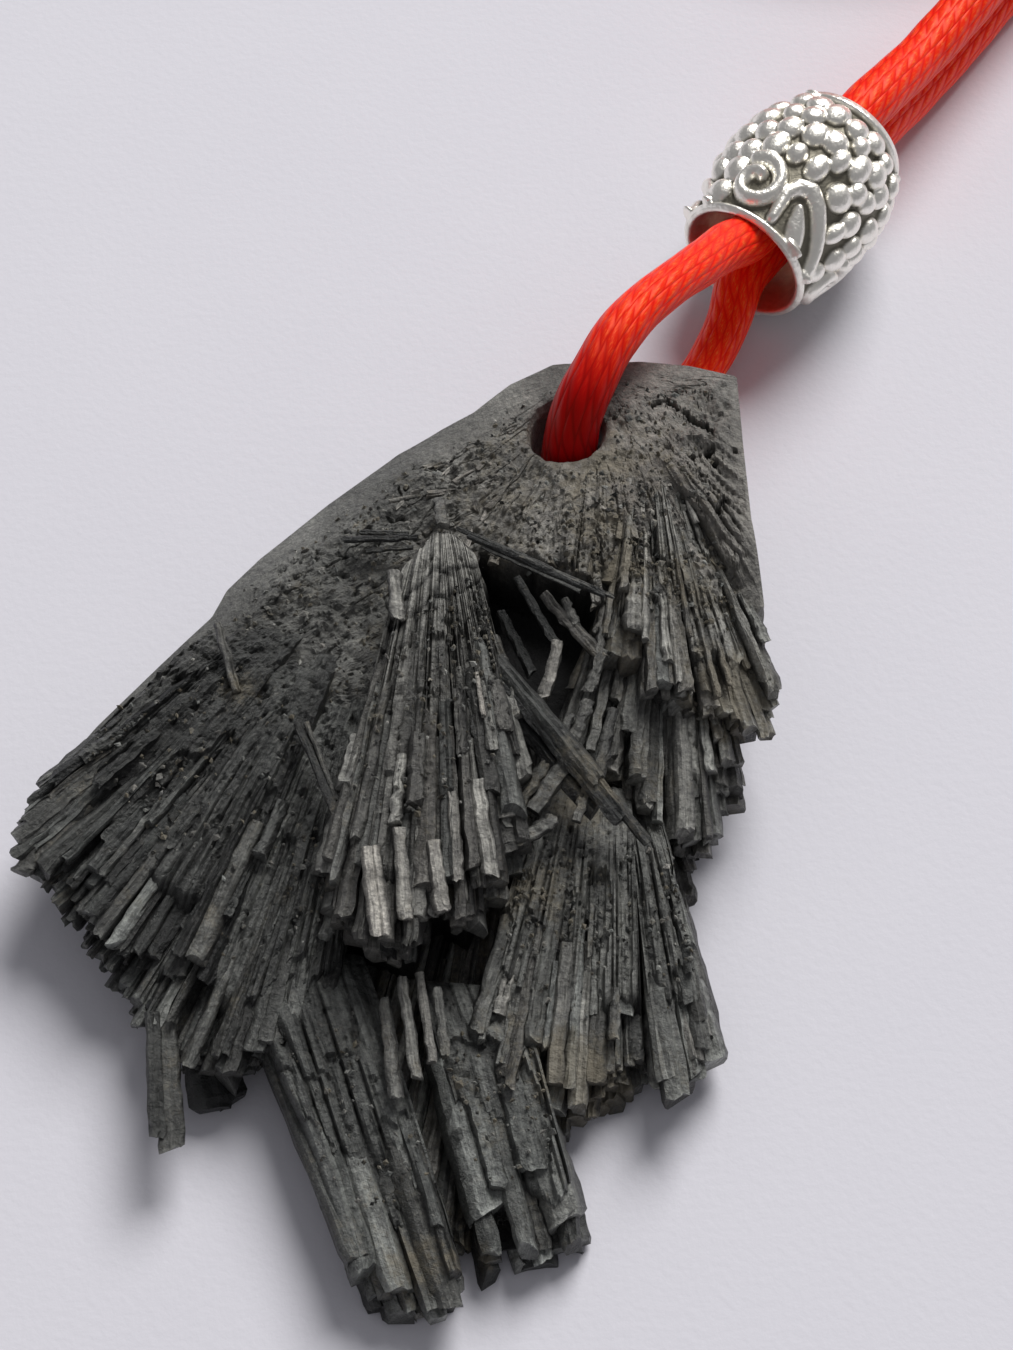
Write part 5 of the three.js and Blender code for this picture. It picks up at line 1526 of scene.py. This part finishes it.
def crumbs(places, seed, sizes, warmth, tone):
    """Grains of broken stone and clay: eight-sided lumps of random shape and turn at the given places."""
    rng = np.random.default_rng(seed)
    count, corners = len(places), len(CRUMB)
    size = rng.uniform(*sizes, (count, 1, 1)) * rng.uniform(0.6, 1.5, (count, 1, 3)) / 2
    shape = CRUMB[None] * size * (1 + rng.normal(0, 0.22, (count, corners, 1)))
    turn = rng.uniform(0, math.tau, count)
    cos, sin = np.cos(turn)[:, None], np.sin(turn)[:, None]
    points = np.stack([
        shape[..., 0] * cos - shape[..., 1] * sin, shape[..., 0] * sin + shape[..., 1] * cos,
        shape[..., 2] + 0.3 * shape[..., 0],
    ], axis=-1) + places[:, None]
    faces = (CRUMB_FACES[None] + (np.arange(count) * corners)[:, None, None]).reshape(-1, 3)
    points = keep_inside(points.reshape(-1, 3))

    def one_each(middle, spread):
        return np.repeat(clipped_normal(rng, middle, spread, count), corners)

    attributes = {
        "grain": points * 1.7,
        "tone": one_each(tone, 0.2),
        "warmth": one_each(warmth, 0.2),
        "dust": one_each(0.4, 0.3) + dust_at(points[:, 0], points[:, 1]),
        "groove_and_shade": np.zeros(len(points)),
    }
    return points, [faces], attributes


def spray_places(count, seed):
    """Random places on the tops of the sprays, most of them where dust has gathered."""
    rng = np.random.default_rng(seed)
    places = []
    for spray in SPRAYS.values():
        total = int(count * spray.tip_line / 12)
        u, s = rng.uniform(0.08, 0.92, total), rng.uniform(0.1, 0.64, total) ** 0.7
        root, tip = spray.ends(u)
        spot = root + (tip - root) * s[:, None]
        spot[:, 2] += spray.rise(u, s) - rng.uniform(0.05, 0.3, total)
        keep = rng.uniform(0, 1, total) < 0.25 + dust_at(spot[:, 0], spot[:, 1])
        places.append(spot[keep])
    return np.concatenate(places)


def compact_places(count, seed):
    """Random places on the compact top, clear of its ground edge, its hole and its hollow."""
    rng = np.random.default_rng(seed)
    x, y = rng.uniform(-15.5, 15.8, count * 3), rng.uniform(0.5, 21, count * 3)
    keep = depth_inside(x, y, SHIELD_PLAN) > 0.3
    keep &= to_line(x, y, CUT_EDGE)[0] > rng.uniform(0.8, 2.4, len(x))
    keep &= (away_from(HOLE_CENTRE, x, y) > 2.1) & (depth_inside(x, y, HOLLOW_RIM) < 0)
    x, y = x[keep][:count], y[keep][:count]
    return np.stack([x, y, compact_top(x, y)[0] + rng.uniform(-0.06, 0.04, len(x))], axis=1)


# ---- the stone: its pieces ---------------------------------------------------------------------
# Each piece of sprays, and the sprays that it is made of.
SPRAY_PIECES = {
    "kyanite_left_wing": ("wing_low", "wing_middle", "wing_top", "cut_edge"),
    "kyanite_centre_cone": ("centre_cone",),
    "kyanite_right_sprays": ("right_upper", "right_lower", "lower_middle", "lower_strip"),
    "kyanite_tails": ("tail_left", "tail_right"),
}
LATH_SEED, CORE_SEED = 100, 300


def stone_piece(name, parts, finish):
    """A piece of the stone, made of the given parts, which stands for part of the solid one."""
    points, faces, attributes = joined(parts)
    piece = make_piece(name, points, faces, finish, attributes)
    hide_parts("kyanite_fan")
    return piece


stone_piece("kyanite_body", [compact_body()], COMPACT_FINISH)
order = list(SPRAYS)
for piece_name, members in SPRAY_PIECES.items():
    grown = [spray_core(SPRAYS[m], CORE_SEED + order.index(m)) for m in members]
    free = [part for m in members for part in spray_laths(SPRAYS[m], LATH_SEED + order.index(m))]
    stone_piece(piece_name, grown + free, LATH_FINISH)
stone_piece(
    "kyanite_loose_laths", loose_laths() + surface_fibres(150, 81) + underside_laths(), LATH_FINISH,
)
stone_piece("kyanite_crumbs", [
    crumbs(compact_places(1800, 91), 92, sizes=(0.09, 0.28), warmth=0.35, tone=0.54),
    crumbs(spray_places(800, 93), 94, sizes=(0.08, 0.26), warmth=0.3, tone=0.47),
], COMPACT_FINISH)


# ---- floor and light ---------------------------------------------------------------------------
FLOOR_HALF = 0.6
PAPER = (0.70, 0.69, 0.745, 1), (0.735, 0.725, 0.775, 1)


def make_floor():
    """A sheet of pale lavender-white paper under the pendant."""
    material, n, shader = new_material("white_paper")
    place = n.object_mm()
    n.feed(shader.inputs["Base Color"], n.mix(n.noise(place, 0.08, 3.0), *PAPER))
    shader.inputs["Roughness"].default_value = 0.85
    n.feed(shader.inputs["Normal"], bump(n, n.noise(place, 2.5, 4.0), 0.02))
    mesh = bpy.data.meshes.new("floor")
    corners = [(x * FLOOR_HALF, y * FLOOR_HALF, 0) for x, y in ((-1, -1), (1, -1), (1, 1), (-1, 1))]
    mesh.from_pydata(corners, [], [(0, 1, 2, 3)])
    mesh.materials.append(material)
    floor = bpy.data.objects.new("floor", mesh)
    bpy.context.scene.collection.objects.link(floor)


def make_light(name, place, target, size, watts, colour):
    """A round soft light at a place, turned to its target, both in metres."""
    data = bpy.data.lights.new(name, "AREA")
    data.shape = "DISK"
    data.size = size
    data.energy = watts
    data.color = colour
    light = bpy.data.objects.new(name, data)
    light.location = place
    light.rotation_euler = (Vector(target) - Vector(place)).to_track_quat("-Z", "Y").to_euler()
    bpy.context.scene.collection.objects.link(light)


def make_world(colour, strength):
    """The even light of the room."""
    world = bpy.data.worlds.new("room")
    world.use_nodes = True
    background = world.node_tree.nodes["Background"]
    background.inputs["Color"].default_value = (*colour, 1)
    background.inputs["Strength"].default_value = strength
    bpy.context.scene.world = world


make_floor()
make_world((0.95, 0.95, 1.0), 0.25)
make_light("window", (0.65, 1.42, 1.5), (0, 0.02, 0), size=1.3, watts=50.0, colour=(1.0, 0.99, 0.98))
bpy.context.scene.view_settings.view_transform = "Standard"
